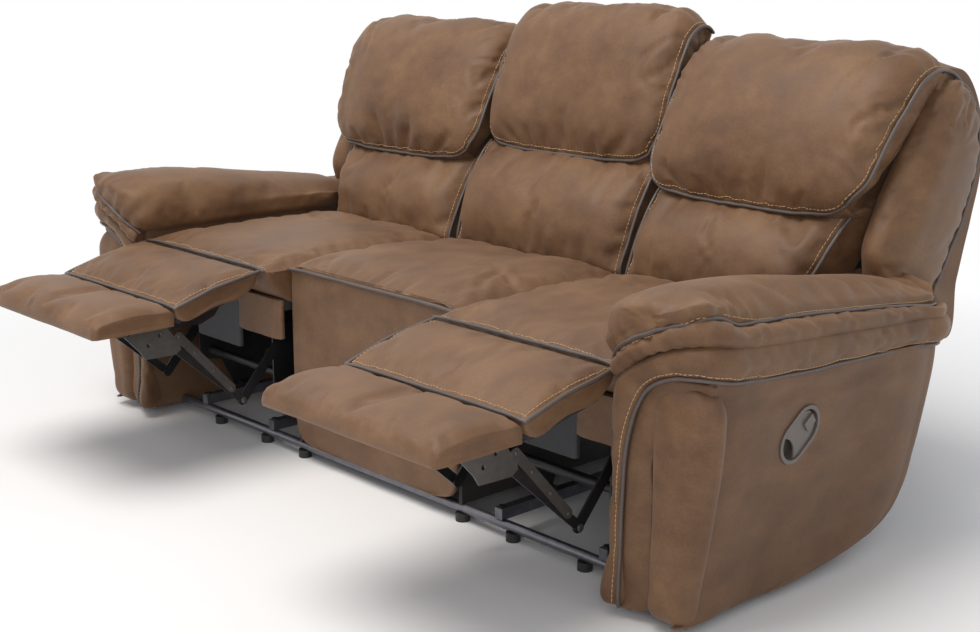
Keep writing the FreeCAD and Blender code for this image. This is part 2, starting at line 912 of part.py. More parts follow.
def crowned_skin(stations, inner_line, outer_line, swell, factor_at):
    """Rear skin with a flat inner side and an outer side that swells between its side welts."""
    wires = []
    width = stations[-1] - stations[0]
    for x in stations:
        off_middle = abs(2 * (x - stations[0]) / width - 1)
        rise = swell * (1 - off_middle ** 4)
        outline = list(inner_line)
        for index, point in enumerate(reversed(outer_line)):
            weight = math.sin(math.pi * index / (len(outer_line) - 1))
            outline.append((point[0] + rise * weight, point[1]))
        outline = shrink(outline, wing_middle, factor_at(x))
        wires.append(bulged_wire(in_yz, x, outline, [0] * len(outline)))
    return Part.makeLoft(wires, True, True)


def back_cover():
    """Rear skin of a recliner's back."""
    inner_x = seat_inner_x + 13
    middle = (inner_x + wing_outer_x) / 2
    stations = [inner_x, inner_x + 30, inner_x + 120, middle] + wing_stations()
    return crowned_skin(stations, cover_inner_line(), cover_outer_line(), back_swell, side_rounding)


def lumbar_cushion():
    corners = [
        (258, 487),
        along(back_foot, back_tilt, 4, 0),
        along(back_foot, back_tilt, lumbar_length, 0),
        along(back_foot, back_tilt, lumbar_length - 22, 116),
    ]
    anchor = along(back_foot, back_tilt, lumbar_length / 2, 0)
    x = (seat_inner_x + 8, lumbar_outer_x)
    return cushion_x(x, corners, [3, 0, 0, 12], anchor, 0.05)


def head_pillow():
    """Pillow with a lobe that stands out in front of the wing beside it."""
    low = lumbar_length + 2
    corners = [
        along(back_foot, back_tilt, low - 16, 122),
        along(back_foot, back_tilt, low, 0),
        beside_top(0, 0),
        beside_top(6, 22),
        beside_top(-11, 42),
        beside_top(-77, 40),
        beside_top(-189, -94),
    ]
    bulges = [4, 0, 0, 2, 4, 16, 10]
    anchor = along(back_foot, back_tilt, (low + back_frame_length) / 2, 0)
    side_x = wing_outer_x - wing_thickness
    main = cushion_x((seat_inner_x + pillow_inset, side_x - 4), corners, bulges, anchor, 0.02)
    side = pillow_side_line()
    lobe = [
        corners[0],
        (side[0][0] + 2, corners[0][1]),
        side[3],
        side[4],
        beside_top(-34, -4),
        beside_top(-84, 20),
        beside_top(-189, -96),
    ]
    middle = middle_of(lobe)
    wires = []
    for out, factor in ((-6, 1.0), (pillow_lobe / 2, 0.99), (pillow_lobe, 0.9)):
        outline = shrink(lobe, middle, factor)
        wires.append(bulged_wire(in_yz, side_x + out - 4, outline, [0] * len(outline)))
    return main.fuse(Part.makeLoft(wires, True, True)).removeSplitter()


def back_wing():
    """Side bolster of a back, beside and behind the head pillow."""
    inner_line = [(p[0] - cover_gap, p[1]) for p in cover_inner_line()]
    outline = [(352, 612), (400, 617), (450, 580), (466, 508)] + inner_line
    outline.append(beside_top(0, 16))
    outline += [(p[0] + 2, p[1]) for p in reversed(pillow_side_line())]
    wires = []
    for x in wing_stations():
        points = shrink(outline, wing_middle, side_rounding(x))
        wires.append(bulged_wire(in_yz, x, points, [0] * len(points)))
    return Part.makeLoft(wires, True, True)


# Fixed centre seat

def centre_frame():
    floor = rail_bottom()
    rear_foot, rear_bend = centre_cover_lines()[0][:2]
    outline = [
        (centre_front_y + thin_board, floor),
        (rear_foot[0], floor),
        rear_foot,
        rear_bend,
        (430, 440),
        (centre_front_y + thin_board, 440),
    ]
    solids = []
    for side in (1, -1):
        x = sorted((side * centre_half_width, side * (centre_half_width - thin_board)))
        solids.append(plate_x(outline, x))
    span = centre_half_width - thin_board
    z = (seat_rail_bottom, seat_rail_top)
    front_y = centre_front_y + thin_board
    solids.append(box((-span, span), (front_y, front_y + 40), z))
    solids.append(box((-span, span), (222, 262), z))
    return solids


def centre_springs():
    span = centre_half_width - thin_board - 20
    return springs((-span, span), (centre_front_y + thin_board + 40, 222))


def centre_front_panel():
    half = centre_half_width
    radius = 40.0
    bottom = rail_bottom() + 2
    top = 450.0
    y = centre_front_y
    turn = radius * (1 - math.sqrt(0.5))
    edges = [
        Part.LineSegment(V(-half, y, top), V(half, y, top)).toShape(),
        Part.LineSegment(V(half, y, top), V(half, y, bottom + radius)).toShape(),
        Part.Arc(V(half, y, bottom + radius), V(half - turn, y, bottom + turn),
                 V(half - radius, y, bottom)).toShape(),
        Part.LineSegment(V(half - radius, y, bottom), V(radius - half, y, bottom)).toShape(),
        Part.Arc(V(radius - half, y, bottom), V(turn - half, y, bottom + turn),
                 V(-half, y, bottom + radius)).toShape(),
        Part.LineSegment(V(-half, y, bottom + radius), V(-half, y, top)).toShape(),
    ]
    return Part.Face(Part.Wire(edges)).extrude(V(0, thin_board, 0))


def centre_seat_cushion():
    corners = [
        (centre_front_y + thin_board, seat_rail_top),
        (centre_front_y + thin_board, 451),
        (centre_front_y - 3, 453),
        (centre_front_y - 1, 482),
        (256, seat_rear_top),
        (256, seat_rail_top),
    ]
    anchor = (0, seat_rail_top)
    x = (-centre_half_width + thin_board + 1, centre_half_width - thin_board - 1)
    return cushion_x(x, corners, [0, 0, 2, seat_crown, 3, 0], anchor, 0.015)


def centre_cover_lines():
    inner = [(540, 64), (570, 335), (598, 655), (608, 840), (602, 925), (586, 990), (574, 1012)]
    outer = [(560, 62), (592, 330), (620, 650), (630, 842), (624, 935), (606, 1010), (590, 1040)]
    return inner, outer


def centre_back_frame():
    top = along(centre_back_foot, centre_back_tilt, centre_frame_length - board, 0)
    outline = [(centre_back_foot[0], 442), (430, 442)] + centre_cover_lines()[0][1:5]
    outline += [(575, 975), top, centre_back_foot]
    half = centre_half_width - thin_board
    solids = []
    for side in (1, -1):
        solids.append(plate_x(outline, sorted((side * half, side * (half - board)))))
    span = (-(half - board), half - board)
    for up in (4.0, centre_lumbar_length, centre_frame_length - 60):
        corners = [
            along(centre_back_foot, centre_back_tilt, up, 0),
            along(centre_back_foot, centre_back_tilt, up + 40, 0),
            along(centre_back_foot, centre_back_tilt, up + 40, -back_rail),
            along(centre_back_foot, centre_back_tilt, up, -back_rail),
        ]
        solids.append(plate_x(corners, span))
    return solids


def centre_back_cover():
    inner, outer = centre_cover_lines()
    half = centre_half_width
    stations = [half * share for share in (-1.0, -0.9, -0.6, 0.0, 0.6, 0.9, 1.0)]
    return crowned_skin(stations, inner, outer, centre_back_swell, lambda x: 1.0)


def centre_lumbar():
    corners = [
        (263, 488),
        along(centre_back_foot, centre_back_tilt, 8, 0),
        along(centre_back_foot, centre_back_tilt, centre_lumbar_length, 0),
        along(centre_back_foot, centre_back_tilt, centre_lumbar_length - 28, 88),
    ]
    anchor = along(centre_back_foot, centre_back_tilt, centre_lumbar_length / 2, 0)
    half = centre_half_width - 14
    return cushion_x((-half, half), corners, [3, 0, 0, 10], anchor, 0.05)


def centre_pillow():
    low = centre_lumbar_length + 2
    top = along(centre_back_foot, centre_back_tilt, centre_frame_length, 0)
    corners = [
        along(centre_back_foot, centre_back_tilt, low - 12, 96),
        along(centre_back_foot, centre_back_tilt, low, 0),
        top,
        (570, 1018),
        (584, 1052),
        (556, 1082),
        (500, 1080),
        (424, 950),
    ]
    anchor = along(centre_back_foot, centre_back_tilt, (low + centre_frame_length) / 2, 0)
    half = centre_half_width - 10
    return cushion_x((-half, half), corners, [2, 0, 0, 0, 4, 4, 12, 8], anchor, 0.06)


def main():
    os.makedirs("parts", exist_ok=True)
    save("base_frame", base_frame())
    save("floor_glides", floor_glides())
    save("frame_bolts", frame_bolts())
    frames = arm_frame()
    save("arm_frames", frames + [mirrored(solid) for solid in frames])
    save_pair("arm_inner_panel", [arm_inner_panel()])
    save_pair("arm_outer_panel", [arm_outer_panel()])
    pillar = arm_front_pillar()
    save("arm_front_pillars", pillar + [mirrored(solid) for solid in pillar])
    save_pair("arm_side_roll", [arm_side_roll()])
    save_pair("arm_top_pad", [arm_top_pad()])
    save("handle_cups", [handle_cup(), mirrored(handle_cup())])
    save_pair("release_paddle", [paddle()])
    save("centre_seat_frame", centre_frame())
    save("centre_seat_springs", centre_springs())
    save("centre_front_panel", [centre_front_panel()])
    save("centre_seat_cushion", [centre_seat_cushion()])
    save("centre_back_frame", centre_back_frame())
    save("centre_back_cover", [centre_back_cover()])
    save("centre_lumbar_cushion", [centre_lumbar()])
    save("centre_head_pillow", [centre_pillow()])
    save_pair("seat_frame", seat_frame())
    save_pair("seat_springs", seat_springs())
    save_pair("seat_cushion", [seat_cushion(), seat_welt()])
    save_pair("seat_front_panel", [seat_front_panel()])
    save_pair("mechanism_plates", mechanism_plates())
    save_pair("back_frame", back_frame())
    save_pair("back_cover", [back_cover()])
    save_pair("lumbar_cushion", [lumbar_cushion()])
    save_pair("head_pillow", [head_pillow()])
    save_pair("back_wing", [back_wing()])
    save_pair("chaise_pad", [chaise_pad()])
    save_pair("chaise_board", chaise_board())
    save_pair("chaise_bracket", chaise_brackets())
    save_pair("footrest_pad", [footrest_pad()])
    save_pair("footrest_board", [footrest_board()])
    save_pair("footrest_bracket", footrest_brackets())
    save_pair("torque_tube", torque_tube())
    save_pair("scissor_link", scissor_links())


main()
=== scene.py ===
import json
import math

import bpy
import numpy as np
from mathutils import Matrix, Vector
from mathutils.bvhtree import BVHTree


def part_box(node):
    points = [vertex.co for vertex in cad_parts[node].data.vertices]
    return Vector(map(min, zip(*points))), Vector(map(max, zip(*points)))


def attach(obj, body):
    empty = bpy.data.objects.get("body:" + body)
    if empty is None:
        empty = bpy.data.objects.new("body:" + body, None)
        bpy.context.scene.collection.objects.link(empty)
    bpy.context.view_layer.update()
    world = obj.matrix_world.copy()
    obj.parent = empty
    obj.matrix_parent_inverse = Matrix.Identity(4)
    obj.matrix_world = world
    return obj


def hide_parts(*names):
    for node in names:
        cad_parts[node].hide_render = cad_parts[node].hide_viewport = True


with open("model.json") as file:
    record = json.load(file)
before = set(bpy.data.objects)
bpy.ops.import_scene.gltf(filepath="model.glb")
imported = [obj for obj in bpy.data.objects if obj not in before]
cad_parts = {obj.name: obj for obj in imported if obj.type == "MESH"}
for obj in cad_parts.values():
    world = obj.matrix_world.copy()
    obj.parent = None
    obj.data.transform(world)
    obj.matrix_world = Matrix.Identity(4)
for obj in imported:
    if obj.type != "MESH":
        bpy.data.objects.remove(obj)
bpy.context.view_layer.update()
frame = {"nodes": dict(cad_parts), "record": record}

# Three-seat reclining sofa in metres: X along the sofa, the front faces -Y, Z is up.
# Shapes are made for the right-hand side (+X) and mirrored for the left.
# A soft piece is a tube-shaped grid: rows of points follow each other along the piece, and the
# columns of a row go round it. Seams lie on named rows and columns of its coarse control points.

GRID_STEP = 0.008
PIPING_RADIUS = 0.0042
PIPING_LIFT = 0.85
TRIM_STEP = 0.007
STITCH_GAP = 0.0098
STITCH_LENGTH = 0.0062
STITCH_RADIUS = 0.0010
STITCH_INSET = 0.0115
SIDES = ((1, "_right"), (-1, "_left"))


# Curves and grids

def unit(vectors):
    """Vectors brought to length one."""
    return vectors / np.maximum(np.linalg.norm(vectors, axis=-1, keepdims=True), 1e-9)


def smoothed(line, times=1):
    """Line with each inner point drawn towards its neighbours."""
    line = np.array(line)
    for _ in range(times):
        line[1:-1] = (line[:-2] + 2 * line[1:-1] + line[2:]) / 4
    return line


def add_object(name, data):
    obj = bpy.data.objects.new(name, data)
    bpy.context.scene.collection.objects.link(obj)
    return obj


def new_mesh(name, points, faces):
    mesh = bpy.data.meshes.new(name)
    mesh.from_pydata(points, [], faces)
    return mesh


def steps_between(length, spacing):
    """Even number of steps, so that every seam also lies on the coarser grid of the cloth."""
    return 2 * max(1, round(length / spacing / 2))


def through(rows, spacing, closed=False, sharp=()):
    """Smooth run of rows through the given rows, with a corner at each sharp one."""
    rows = np.asarray(rows, float)
    count = len(rows)
    following = np.roll(rows, -1, axis=0)
    gap = np.linalg.norm(following - rows, axis=-1)
    length = np.maximum(gap.mean(axis=1), 1e-6)
    slope = (following - rows) / length[:, None, None]
    before = np.roll(slope, 1, axis=0)
    length_before = np.roll(length, 1)
    share = (length / (length + length_before))[:, None, None]
    tangent = slope * (1 - share) + before * share
    leave, arrive = tangent.copy(), tangent.copy()
    corners = set(index % count for index in sharp)
    if not closed:
        corners |= {0, count - 1}
    for index in corners:
        leave[index] = slope[index]
        arrive[index] = before[index]
    dense, marks = [], []
    for index in range(count if closed else count - 1):
        end = (index + 1) % count
        steps = steps_between(gap[index].max(), spacing)
        marks.append(len(dense))
        for step in range(steps):
            t = step / steps
            out = leave[index] * length[index]
            into = arrive[end] * length[index]
            dense.append((2 * t ** 3 - 3 * t ** 2 + 1) * rows[index] + (t ** 3 - 2 * t ** 2 + t) * out
                         + (3 * t ** 2 - 2 * t ** 3) * rows[end] + (t ** 3 - t ** 2) * into)
    if not closed:
        marks.append(len(dense))
        dense.append(rows[-1])
    return np.array(dense), marks


def smooth_path(points, spacing, closed=False, sharp=()):
    """Smooth line through points."""
    rows = np.asarray(points, float)[:, None, :]
    return through(rows, spacing, closed, sharp)[0][:, 0, :]


def lattice_noise(points, size, seed):
    """Smooth noise from -1 to 1 whose lumps are about size across."""
    scaled = points / size + seed * 17.31
    cell = np.floor(scaled).astype(np.int64)
    part = scaled - cell
    part = part * part * (3 - 2 * part)
    total = np.zeros(len(points))
    for corner in range(8):
        offset = np.array([(corner >> axis) & 1 for axis in range(3)])
        spot = cell + offset
        code = (spot[:, 0] * 73856093) ^ (spot[:, 1] * 19349663) ^ (spot[:, 2] * 83492791) ^ (seed * 7919)
        code = (code ^ (code >> 13)) * 1274126177
        code = (code ^ (code >> 16)) & 0xFFFF
        weight = np.where(offset, part, 1 - part).prod(axis=1)
        total += (code / 32767.5 - 1) * weight
    return total


class Soft:
    """Closed padded piece on a grid of rows (along it) and columns (round it)."""

    def __init__(self, control, spacing=GRID_STEP, sharp_columns=(), sharp_rows=()):
        control = np.asarray(control, float)
        round_it, self.columns = through(control.transpose(1, 0, 2), spacing, True, sharp_columns)
        self.grid, self.rows = through(round_it.transpose(1, 0, 2), spacing, False, sharp_rows)
        self.inward = self.volume() < 0

    def volume(self):
        """Six times the volume, below zero where the faces point inward."""
        ahead = np.roll(self.grid, -1, axis=1)
        a, b, c = self.grid[:-1], ahead[:-1], ahead[1:]
        d = self.grid[1:]
        first = np.einsum("ijk,ijk->", a, np.cross(b, c))
        second = np.einsum("ijk,ijk->", a, np.cross(c, d))
        return first + second

    def normals(self):
        along = np.gradient(self.grid, axis=0)
        around = np.roll(self.grid, -1, axis=1) - np.roll(self.grid, 1, axis=1)
        normal = unit(np.cross(around, along))
        return -normal if self.inward else normal

    def points(self):
        return self.grid.reshape(-1, 3)

    def move_out(self, amount):
        """Moves each point along its own normal."""
        self.grid = self.grid + self.normals() * amount.reshape(self.grid.shape[:2] + (1,))

    def row_chain(self, row, first=None, last=None):
        """Grid places along a control row, from one control column to another."""
        count = self.grid.shape[1]
        if first is None:
            return [(self.rows[row], column) for column in range(count)] + [(self.rows[row], 0)]
        start, end = self.columns[first], self.columns[last]
        if end <= start:
            end += count
        return [(self.rows[row], column % count) for column in range(start, end + 1)]

    def column_chain(self, column, first=0, last=-1):
        """Grid places along a control column, from one control row to another."""
        start, end = self.rows[first], self.rows[last]
        step = 1 if end > start else -1
        return [(row, self.columns[column]) for row in range(start, end + step, step)]

    def chain_points(self, chain):
        return np.array([self.grid[row, column] for row, column in chain])

    def chain_normals(self, chain):
        normal = self.normals()
        return np.array([normal[row, column] for row, column in chain])

    def lumps(self, seed, height, sizes=(0.24, 0.1, 0.045), shares=(1.0, 0.5, 0.22)):
        """Slow hollows and swellings of stuffing under the cover."""
        amount = sum(lattice_noise(self.points(), size, seed + index) * share
                     for index, (size, share) in enumerate(zip(sizes, shares)))
        self.move_out(amount * height)

    def gathers(self, line, height, width, pitch, seed):
        """Small folds that run away from a seam, as where the cover is drawn in."""
        distance, travelled = near_line(self.points(), line)
        wobble = lattice_noise(self.points(), 0.06, seed) * 2.2
        fold = np.sin(travelled / pitch * 2 * math.pi + wobble)
        patchy = 0.55 + 0.45 * lattice_noise(self.points(), 0.11, seed + 3)
        share = distance / width
        self.move_out(height * fold * patchy * share * np.exp(1 - share) * (share < 4))

    def groove(self, line, depth, width):
        """Crease along a line near the surface, with a raised lip; it fades out at the line's ends."""
        smooth = smooth_path(line, 0.01)
        points = self.points()
        line = smoothed([points[((points - spot) ** 2).sum(axis=1).argmin()] for spot in smooth])
        distance, travelled = near_line(points, line)
        whole = max(travelled.max(), 1e-6)
        fade = np.clip(np.minimum(travelled, whole - travelled) / (0.3 * whole), 0, 1)
        near = distance / width
        self.move_out(depth * (0.55 * np.exp(-(near - 1.9) ** 2) - np.exp(-near ** 2)) * fade)

    def seam(self, chain, depth=0.004, width=0.010):
        """Pulls the cover in along a seam."""
        distance, _ = near_line(self.points(), self.chain_points(chain))
        self.move_out(-depth * np.exp(-(distance / width) ** 2))


def near_line(points, line):
    """Distance of points from a line, and the line's length up to the nearest place."""
    start, end = line[:-1], line[1:]
    run = end - start
    squared = np.maximum((run ** 2).sum(axis=1), 1e-12)
    length = np.sqrt(squared)
    travelled = np.concatenate([[0], np.cumsum(length)])
    best = np.full(len(points), 1e9)
    where = np.zeros(len(points))
    for index in range(len(run)):
        share = np.clip(((points - start[index]) @ run[index]) / squared[index], 0, 1)
        offset = points - (start[index] + share[:, None] * run[index])
        distance = (offset ** 2).sum(axis=1)
        closer = distance < best
        best[closer] = distance[closer]
        where[closer] = (travelled[index] + share * length[index])[closer]
    return np.sqrt(best), where


# Cloth: the panels between held seams are blown up a little and keep the folds that this makes

SIM_FRAMES = 14
SIM_SCALE = 2


def cloth_object(soft, held):
    coarse = soft.grid[::SIM_SCALE, ::SIM_SCALE]
    count, around = coarse.shape[:2]
    points = coarse.reshape(-1, 3)
    faces = grid_faces(count, around, soft.inward)
    obj = add_object("cloth", new_mesh("cloth", points.tolist(), faces))
    group = obj.vertex_groups.new(name="held")
    mask = held[::SIM_SCALE, ::SIM_SCALE].reshape(-1)
    group.add(np.nonzero(mask)[0].tolist(), 1.0, "REPLACE")
    return obj


def inflate_all(jobs):
    """Blows up several pieces at once. A job is (soft, held mask, pressure, slack, most)."""
    if not jobs:
        return
    scene = bpy.context.scene
    objects = []
    for soft, held, pressure, slack, _ in jobs:
        obj = cloth_object(soft, held)
        cloth = obj.modifiers.new("cloth", "CLOTH")
        settings = cloth.settings
        settings.quality = 5
        settings.mass = 0.25
        settings.tension_stiffness = 25
        settings.compression_stiffness = 25
        settings.shear_stiffness = 12
        settings.bending_stiffness = 1.5
        settings.use_pressure = True
        settings.uniform_pressure_force = pressure
        settings.shrink_min = -slack
        settings.shrink_max = -slack
        settings.vertex_group_mass = "held"
        settings.effector_weights.gravity = 0
        cloth.collision_settings.use_collision = False
        cloth.point_cache.frame_start = 1
        cloth.point_cache.frame_end = SIM_FRAMES
        objects.append(obj)
    for number in range(1, SIM_FRAMES + 1):
        scene.frame_set(number)
    graph = bpy.context.evaluated_depsgraph_get()
    for obj, (soft, held, _, _, most) in zip(objects, jobs):
        result = obj.evaluated_get(graph).to_mesh()
        moved = np.empty(len(result.vertices) * 3)
        result.vertices.foreach_get("co", moved)
        coarse = soft.grid[::SIM_SCALE, ::SIM_SCALE]
        shift = moved.reshape(coarse.shape) - coarse
        size = np.linalg.norm(shift, axis=-1, keepdims=True)
        shift = shift * (most * np.tanh(size / most) / np.maximum(size, 1e-9))
        shift[~np.isfinite(shift)] = 0
        soft.grid = soft.grid + refine(shift, soft.grid.shape)
        bpy.data.objects.remove(obj, do_unlink=True)
    scene.frame_set(1)


def refine(coarse, shape):
    """Spreads values of the coarse grid over the fine one."""
    fine = np.zeros(shape)
    fine[::2, ::2] = coarse
    fine[::2, 1::2] = (coarse + np.roll(coarse, -1, axis=1)) / 2
    fine[1::2] = (fine[:-1:2] + fine[2::2]) / 2
    return fine


def grid_faces(count, around, inward):
    faces = []
    for row in range(count - 1):
        for column in range(around):
            ahead = (column + 1) % around
            face = (row * around + column, row * around + ahead,
                    (row + 1) * around + ahead, (row + 1) * around + column)
            faces.append(face if not inward else face[::-1])
    return faces


# Piping and stitching

def travel(line):
    """Length of a line up to each of its points."""
    step = np.linalg.norm(np.diff(line, axis=0), axis=1)
    return np.concatenate([[0], np.cumsum(step)])


def resample(line, normals, spacing):
    """Even points along a line, with the normals there."""
    done = travel(line)
    count = max(3, int(done[-1] / spacing))
    at = np.linspace(0, done[-1], count)
    spots = np.stack([np.interp(at, done, line[:, axis]) for axis in range(3)], axis=1)
    facing = np.stack([np.interp(at, done, normals[:, axis]) for axis in range(3)], axis=1)
    return smoothed(spots, 3), unit(smoothed(facing, 3))


def tube(line, facing, radius, sides=8):
    """Points and faces of a round tube with rounded ends."""
    along = unit(np.gradient(line, axis=0))
    across = unit(np.cross(along, facing))
    up = np.cross(across, along)
    centres = [line[0] - along[0] * radius * 0.9, line[0] - along[0] * radius * 0.5]
    centres += list(line)
    centres += [line[-1] + along[-1] * radius * 0.5, line[-1] + along[-1] * radius * 0.9]
    sizes = [0.4, 0.8] + [1.0] * len(line) + [0.8, 0.4]
    frames = [0, 0] + list(range(len(line))) + [len(line) - 1] * 2
    points = []
    for centre, size, index in zip(centres, sizes, frames):
        for side in range(sides):
            turn = 2 * math.pi * side / sides
            spoke = math.cos(turn) * across[index] + math.sin(turn) * up[index]
            points.append(centre + radius * size * spoke)
    rings = len(centres)
    faces = grid_faces(rings, sides, False)
    faces.append(tuple(range(sides))[::-1])
    faces.append(tuple(range((rings - 1) * sides, rings * sides)))
    return points, faces


def stitch_dashes(tree, line, facing, inset):
    """Short thread dashes beside a seam, lying on the cover."""
    parts = []
    done = travel(line)
    aside = np.cross(facing, unit(np.gradient(line, axis=0)))
    place = STITCH_GAP / 2
    while place < done[-1]:
        ends = []
        for at in (place - STITCH_LENGTH / 2, place, place + STITCH_LENGTH / 2):
            spot = np.array([np.interp(at, done, (line + aside * inset)[:, axis]) for axis in range(3)])
            hit, normal, _, _ = tree.find_nearest(Vector(spot))
            ends.append((np.array(hit), np.array(normal)))
        path = np.array([hit + normal * lift for (hit, normal), lift in
                         zip(ends, (-STITCH_RADIUS * 0.1, STITCH_RADIUS * 0.95, -STITCH_RADIUS * 0.1))])
        parts.append(tube(path, np.array([normal for _, normal in ends]), STITCH_RADIUS, 5))
        place += STITCH_GAP
    return parts


class Builder:
    """Collects the points and faces of one piece, with the material of each face."""

    def __init__(self):
        self.points, self.faces, self.kinds = [], [], []

    def add(self, points, faces, kind):
        base = len(self.points)
        self.points.extend(points)
        self.faces.extend(tuple(base + index for index in face) for face in faces)
        self.kinds.extend([kind] * len(faces))

    def add_soft(self, soft, kind=0):
        count, around = soft.grid.shape[:2]
        points = [tuple(p) for p in soft.points()]
        faces = grid_faces(count, around, soft.inward)
        for row, flip in ((0, True), (count - 1, False)):
            middle = soft.grid[row].mean(axis=0)
            points.append(tuple(middle))
            hub = len(points) - 1
            for column in range(around):
                ahead = (column + 1) % around
                face = (row * around + column, row * around + ahead, hub)
                faces.append(face[::-1] if flip != soft.inward else face)
        self.add(points, faces, kind)

    def finish(self, name, materials, side, smooth_angle=None):
        points = np.array(self.points, float)
        faces = self.faces
        if side < 0:
            points[:, 0] *= -1
            faces = [face[::-1] for face in faces]
        mesh = new_mesh(name, points.tolist(), faces)
        for material in materials:
            mesh.materials.append(material)
        mesh.polygons.foreach_set("material_index", self.kinds)
        mesh.polygons.foreach_set("use_smooth", [True] * len(faces))
        mesh.update()
        obj = add_object(name, mesh)
        if smooth_angle:
            mesh.set_sharp_from_angle(angle=math.radians(smooth_angle))
        return obj


def clear_of(tree, line, gap):
    """Moves a line out of a neighbouring cover, so that the piping stays in sight."""
    moved = []
    for spot in line:
        hit, normal, _, _ = tree.find_nearest(Vector(spot))
        height = (Vector(spot) - hit).dot(normal)
        moved.append(spot if height > gap else np.array(hit + normal * gap))
    return smoothed(moved, 3)


def trim(builder, soft, chain, stitch=0, piping=True, on=None):
    """Adds piping along a chain, and stitches to one side of it on the piece or on its neighbour."""
    line, facing = resample(soft.chain_points(chain), soft.chain_normals(chain), TRIM_STEP)
    ground = on or soft
    count, around = ground.grid.shape[:2]
    tree = BVHTree.FromPolygons(ground.points().tolist(), grid_faces(count, around, ground.inward))
    core = line + facing * PIPING_RADIUS * PIPING_LIFT
    if on:
        core = clear_of(tree, core, PIPING_RADIUS * 0.5)
    if piping:
        builder.add(*tube(core, facing, PIPING_RADIUS), 1)
    if stitch:
        for dash in stitch_dashes(tree, line, facing, stitch * STITCH_INSET):
            builder.add(*dash, 2)


# Materials

def feed(tree, target, inputs):
    """Sets inputs of a shader node to plain values or to other nodes' outputs."""
    for name, value in inputs.items():
        if isinstance(value, bpy.types.NodeSocket):
            tree.links.new(value, target.inputs[name])
        else:
            target.inputs[name].default_value = value


def node_of(tree, kind, inputs):
    made = tree.nodes.new("ShaderNode" + kind)
    feed(tree, made, inputs)
    return made


def shader_nodes(name):
    material = bpy.data.materials.new(name)
    material.use_nodes = True
    tree = material.node_tree
    tree.nodes.clear()
    shader = node_of(tree, "BsdfPrincipled", {})
    output = node_of(tree, "OutputMaterial", {0: shader.outputs[0]})
    return material, tree, shader, output


def object_place(tree):
    return node_of(tree, "TexCoord", {}).outputs["Object"]


def noise_node(tree, scale, detail=4.0, rough=0.55, stretch=None):
    place = object_place(tree)
    if stretch:
        place = node_of(tree, "Mapping", {"Vector": place, "Scale": stretch}).outputs[0]
    inputs = {"Vector": place, "Scale": scale, "Detail": detail, "Roughness": rough}
    return node_of(tree, "TexNoise", inputs).outputs["Fac"]


def ramp_node(tree, value, stops):
    ramp = node_of(tree, "ValToRGB", {0: value})
    elements = ramp.color_ramp.elements
    while len(elements) < len(stops):
        elements.new(0.5)
    for element, (place, colour) in zip(elements, stops):
        element.position = place
        element.color = tuple(colour) + (1.0,)
    return ramp.outputs[0]


def mix_colours(tree, factor, a, b, kind="MIX"):
    mix = tree.nodes.new("ShaderNodeMix")
    mix.data_type = "RGBA"
    mix.blend_type = kind
    feed(tree, mix, {0: factor, 6: a, 7: b})
    return mix.outputs[2]


def maths(tree, kind, a, b):
    made = node_of(tree, "Math", {0: a, 1: b})
    made.operation = kind
    return made.outputs[0]


def spread(value, below, above):
    """Grey stops of a ramp about a value."""
    return (value - below,) * 3, (value + above,) * 3


def halved_sum(tree, a, b):
    return maths(tree, "ADD", maths(tree, "MULTIPLY", a, 0.5), maths(tree, "MULTIPLY", b, 0.5))


def bump_node(tree, height, strength, distance, **normal):
    inputs = {"Height": height, "Strength": strength, "Distance": distance}
    return node_of(tree, "Bump", {**inputs, **normal}).outputs[0]


def suede(name, dark, middle, light, roughness, sheen):
    """Brushed, leather-like microfibre: mottled, with a fine nap and faint creases."""
    material, tree, shader, _ = shader_nodes(name)
    broad = noise_node(tree, 5.5, 3.0, 0.55)
    brushed = noise_node(tree, 16.0, 5.0, 0.62, (1.0, 0.55, 1.3))
    fine = noise_node(tree, 240.0, 3.0, 0.6)
    colour = ramp_node(tree, halved_sum(tree, broad, brushed), [(0.36, dark), (0.5, middle), (0.64, light)])
    speck = ramp_node(tree, fine, [(0.35, (0.82, 0.82, 0.82)), (0.65, (1.10, 1.10, 1.10))])
    smooth, rough = spread(roughness, 0.07, 0.07)
    cracks = node_of(tree, "TexVoronoi", {"Scale": 150.0, "Vector": object_place(tree)})
    cracks.feature = "DISTANCE_TO_EDGE"
    grain = bump_node(tree, fine, 0.22, 0.0008)
    grain = bump_node(tree, cracks.outputs["Distance"], 0.10, 0.0006, Normal=grain)
    feed(tree, shader, {
        "Base Color": mix_colours(tree, 0.6, colour, mix_colours(tree, 1.0, colour, speck, "MULTIPLY")),
        "Roughness": ramp_node(tree, brushed, [(0.3, smooth), (0.7, rough)]),
        "Sheen Weight": sheen, "Sheen Roughness": 0.45, "Sheen Tint": (0.95, 0.80, 0.68, 1.0),
        "Specular IOR Level": 0.35,
        "Normal": bump_node(tree, noise_node(tree, 34.0, 4.0, 0.6), 0.30, 0.0016, Normal=grain)})
    return material


def plain(name, colours, roughness, metallic=0.0, scale=90.0, bump=0.1, stretch=None, sheen=0.0):
    """Painted, moulded or woven finish with slight colour and gloss changes."""
    material, tree, shader, _ = shader_nodes(name)
    noise = noise_node(tree, scale, 5.0, 0.6, stretch)
    broad = noise_node(tree, 9.0, 3.0, 0.5)
    mixed = halved_sum(tree, noise, broad)
    smooth, rough = spread(roughness, 0.06, 0.08)
    feed(tree, shader, {
        "Base Color": ramp_node(tree, mixed, [(0.35, colours[0]), (0.65, colours[1])]),
        "Roughness": ramp_node(tree, broad, [(0.35, smooth), (0.65, rough)]),
        "Metallic": metallic, "Specular IOR Level": 0.5, "Sheen Weight": sheen,
        "Normal": bump_node(tree, noise, bump, 0.0005)})
    return material


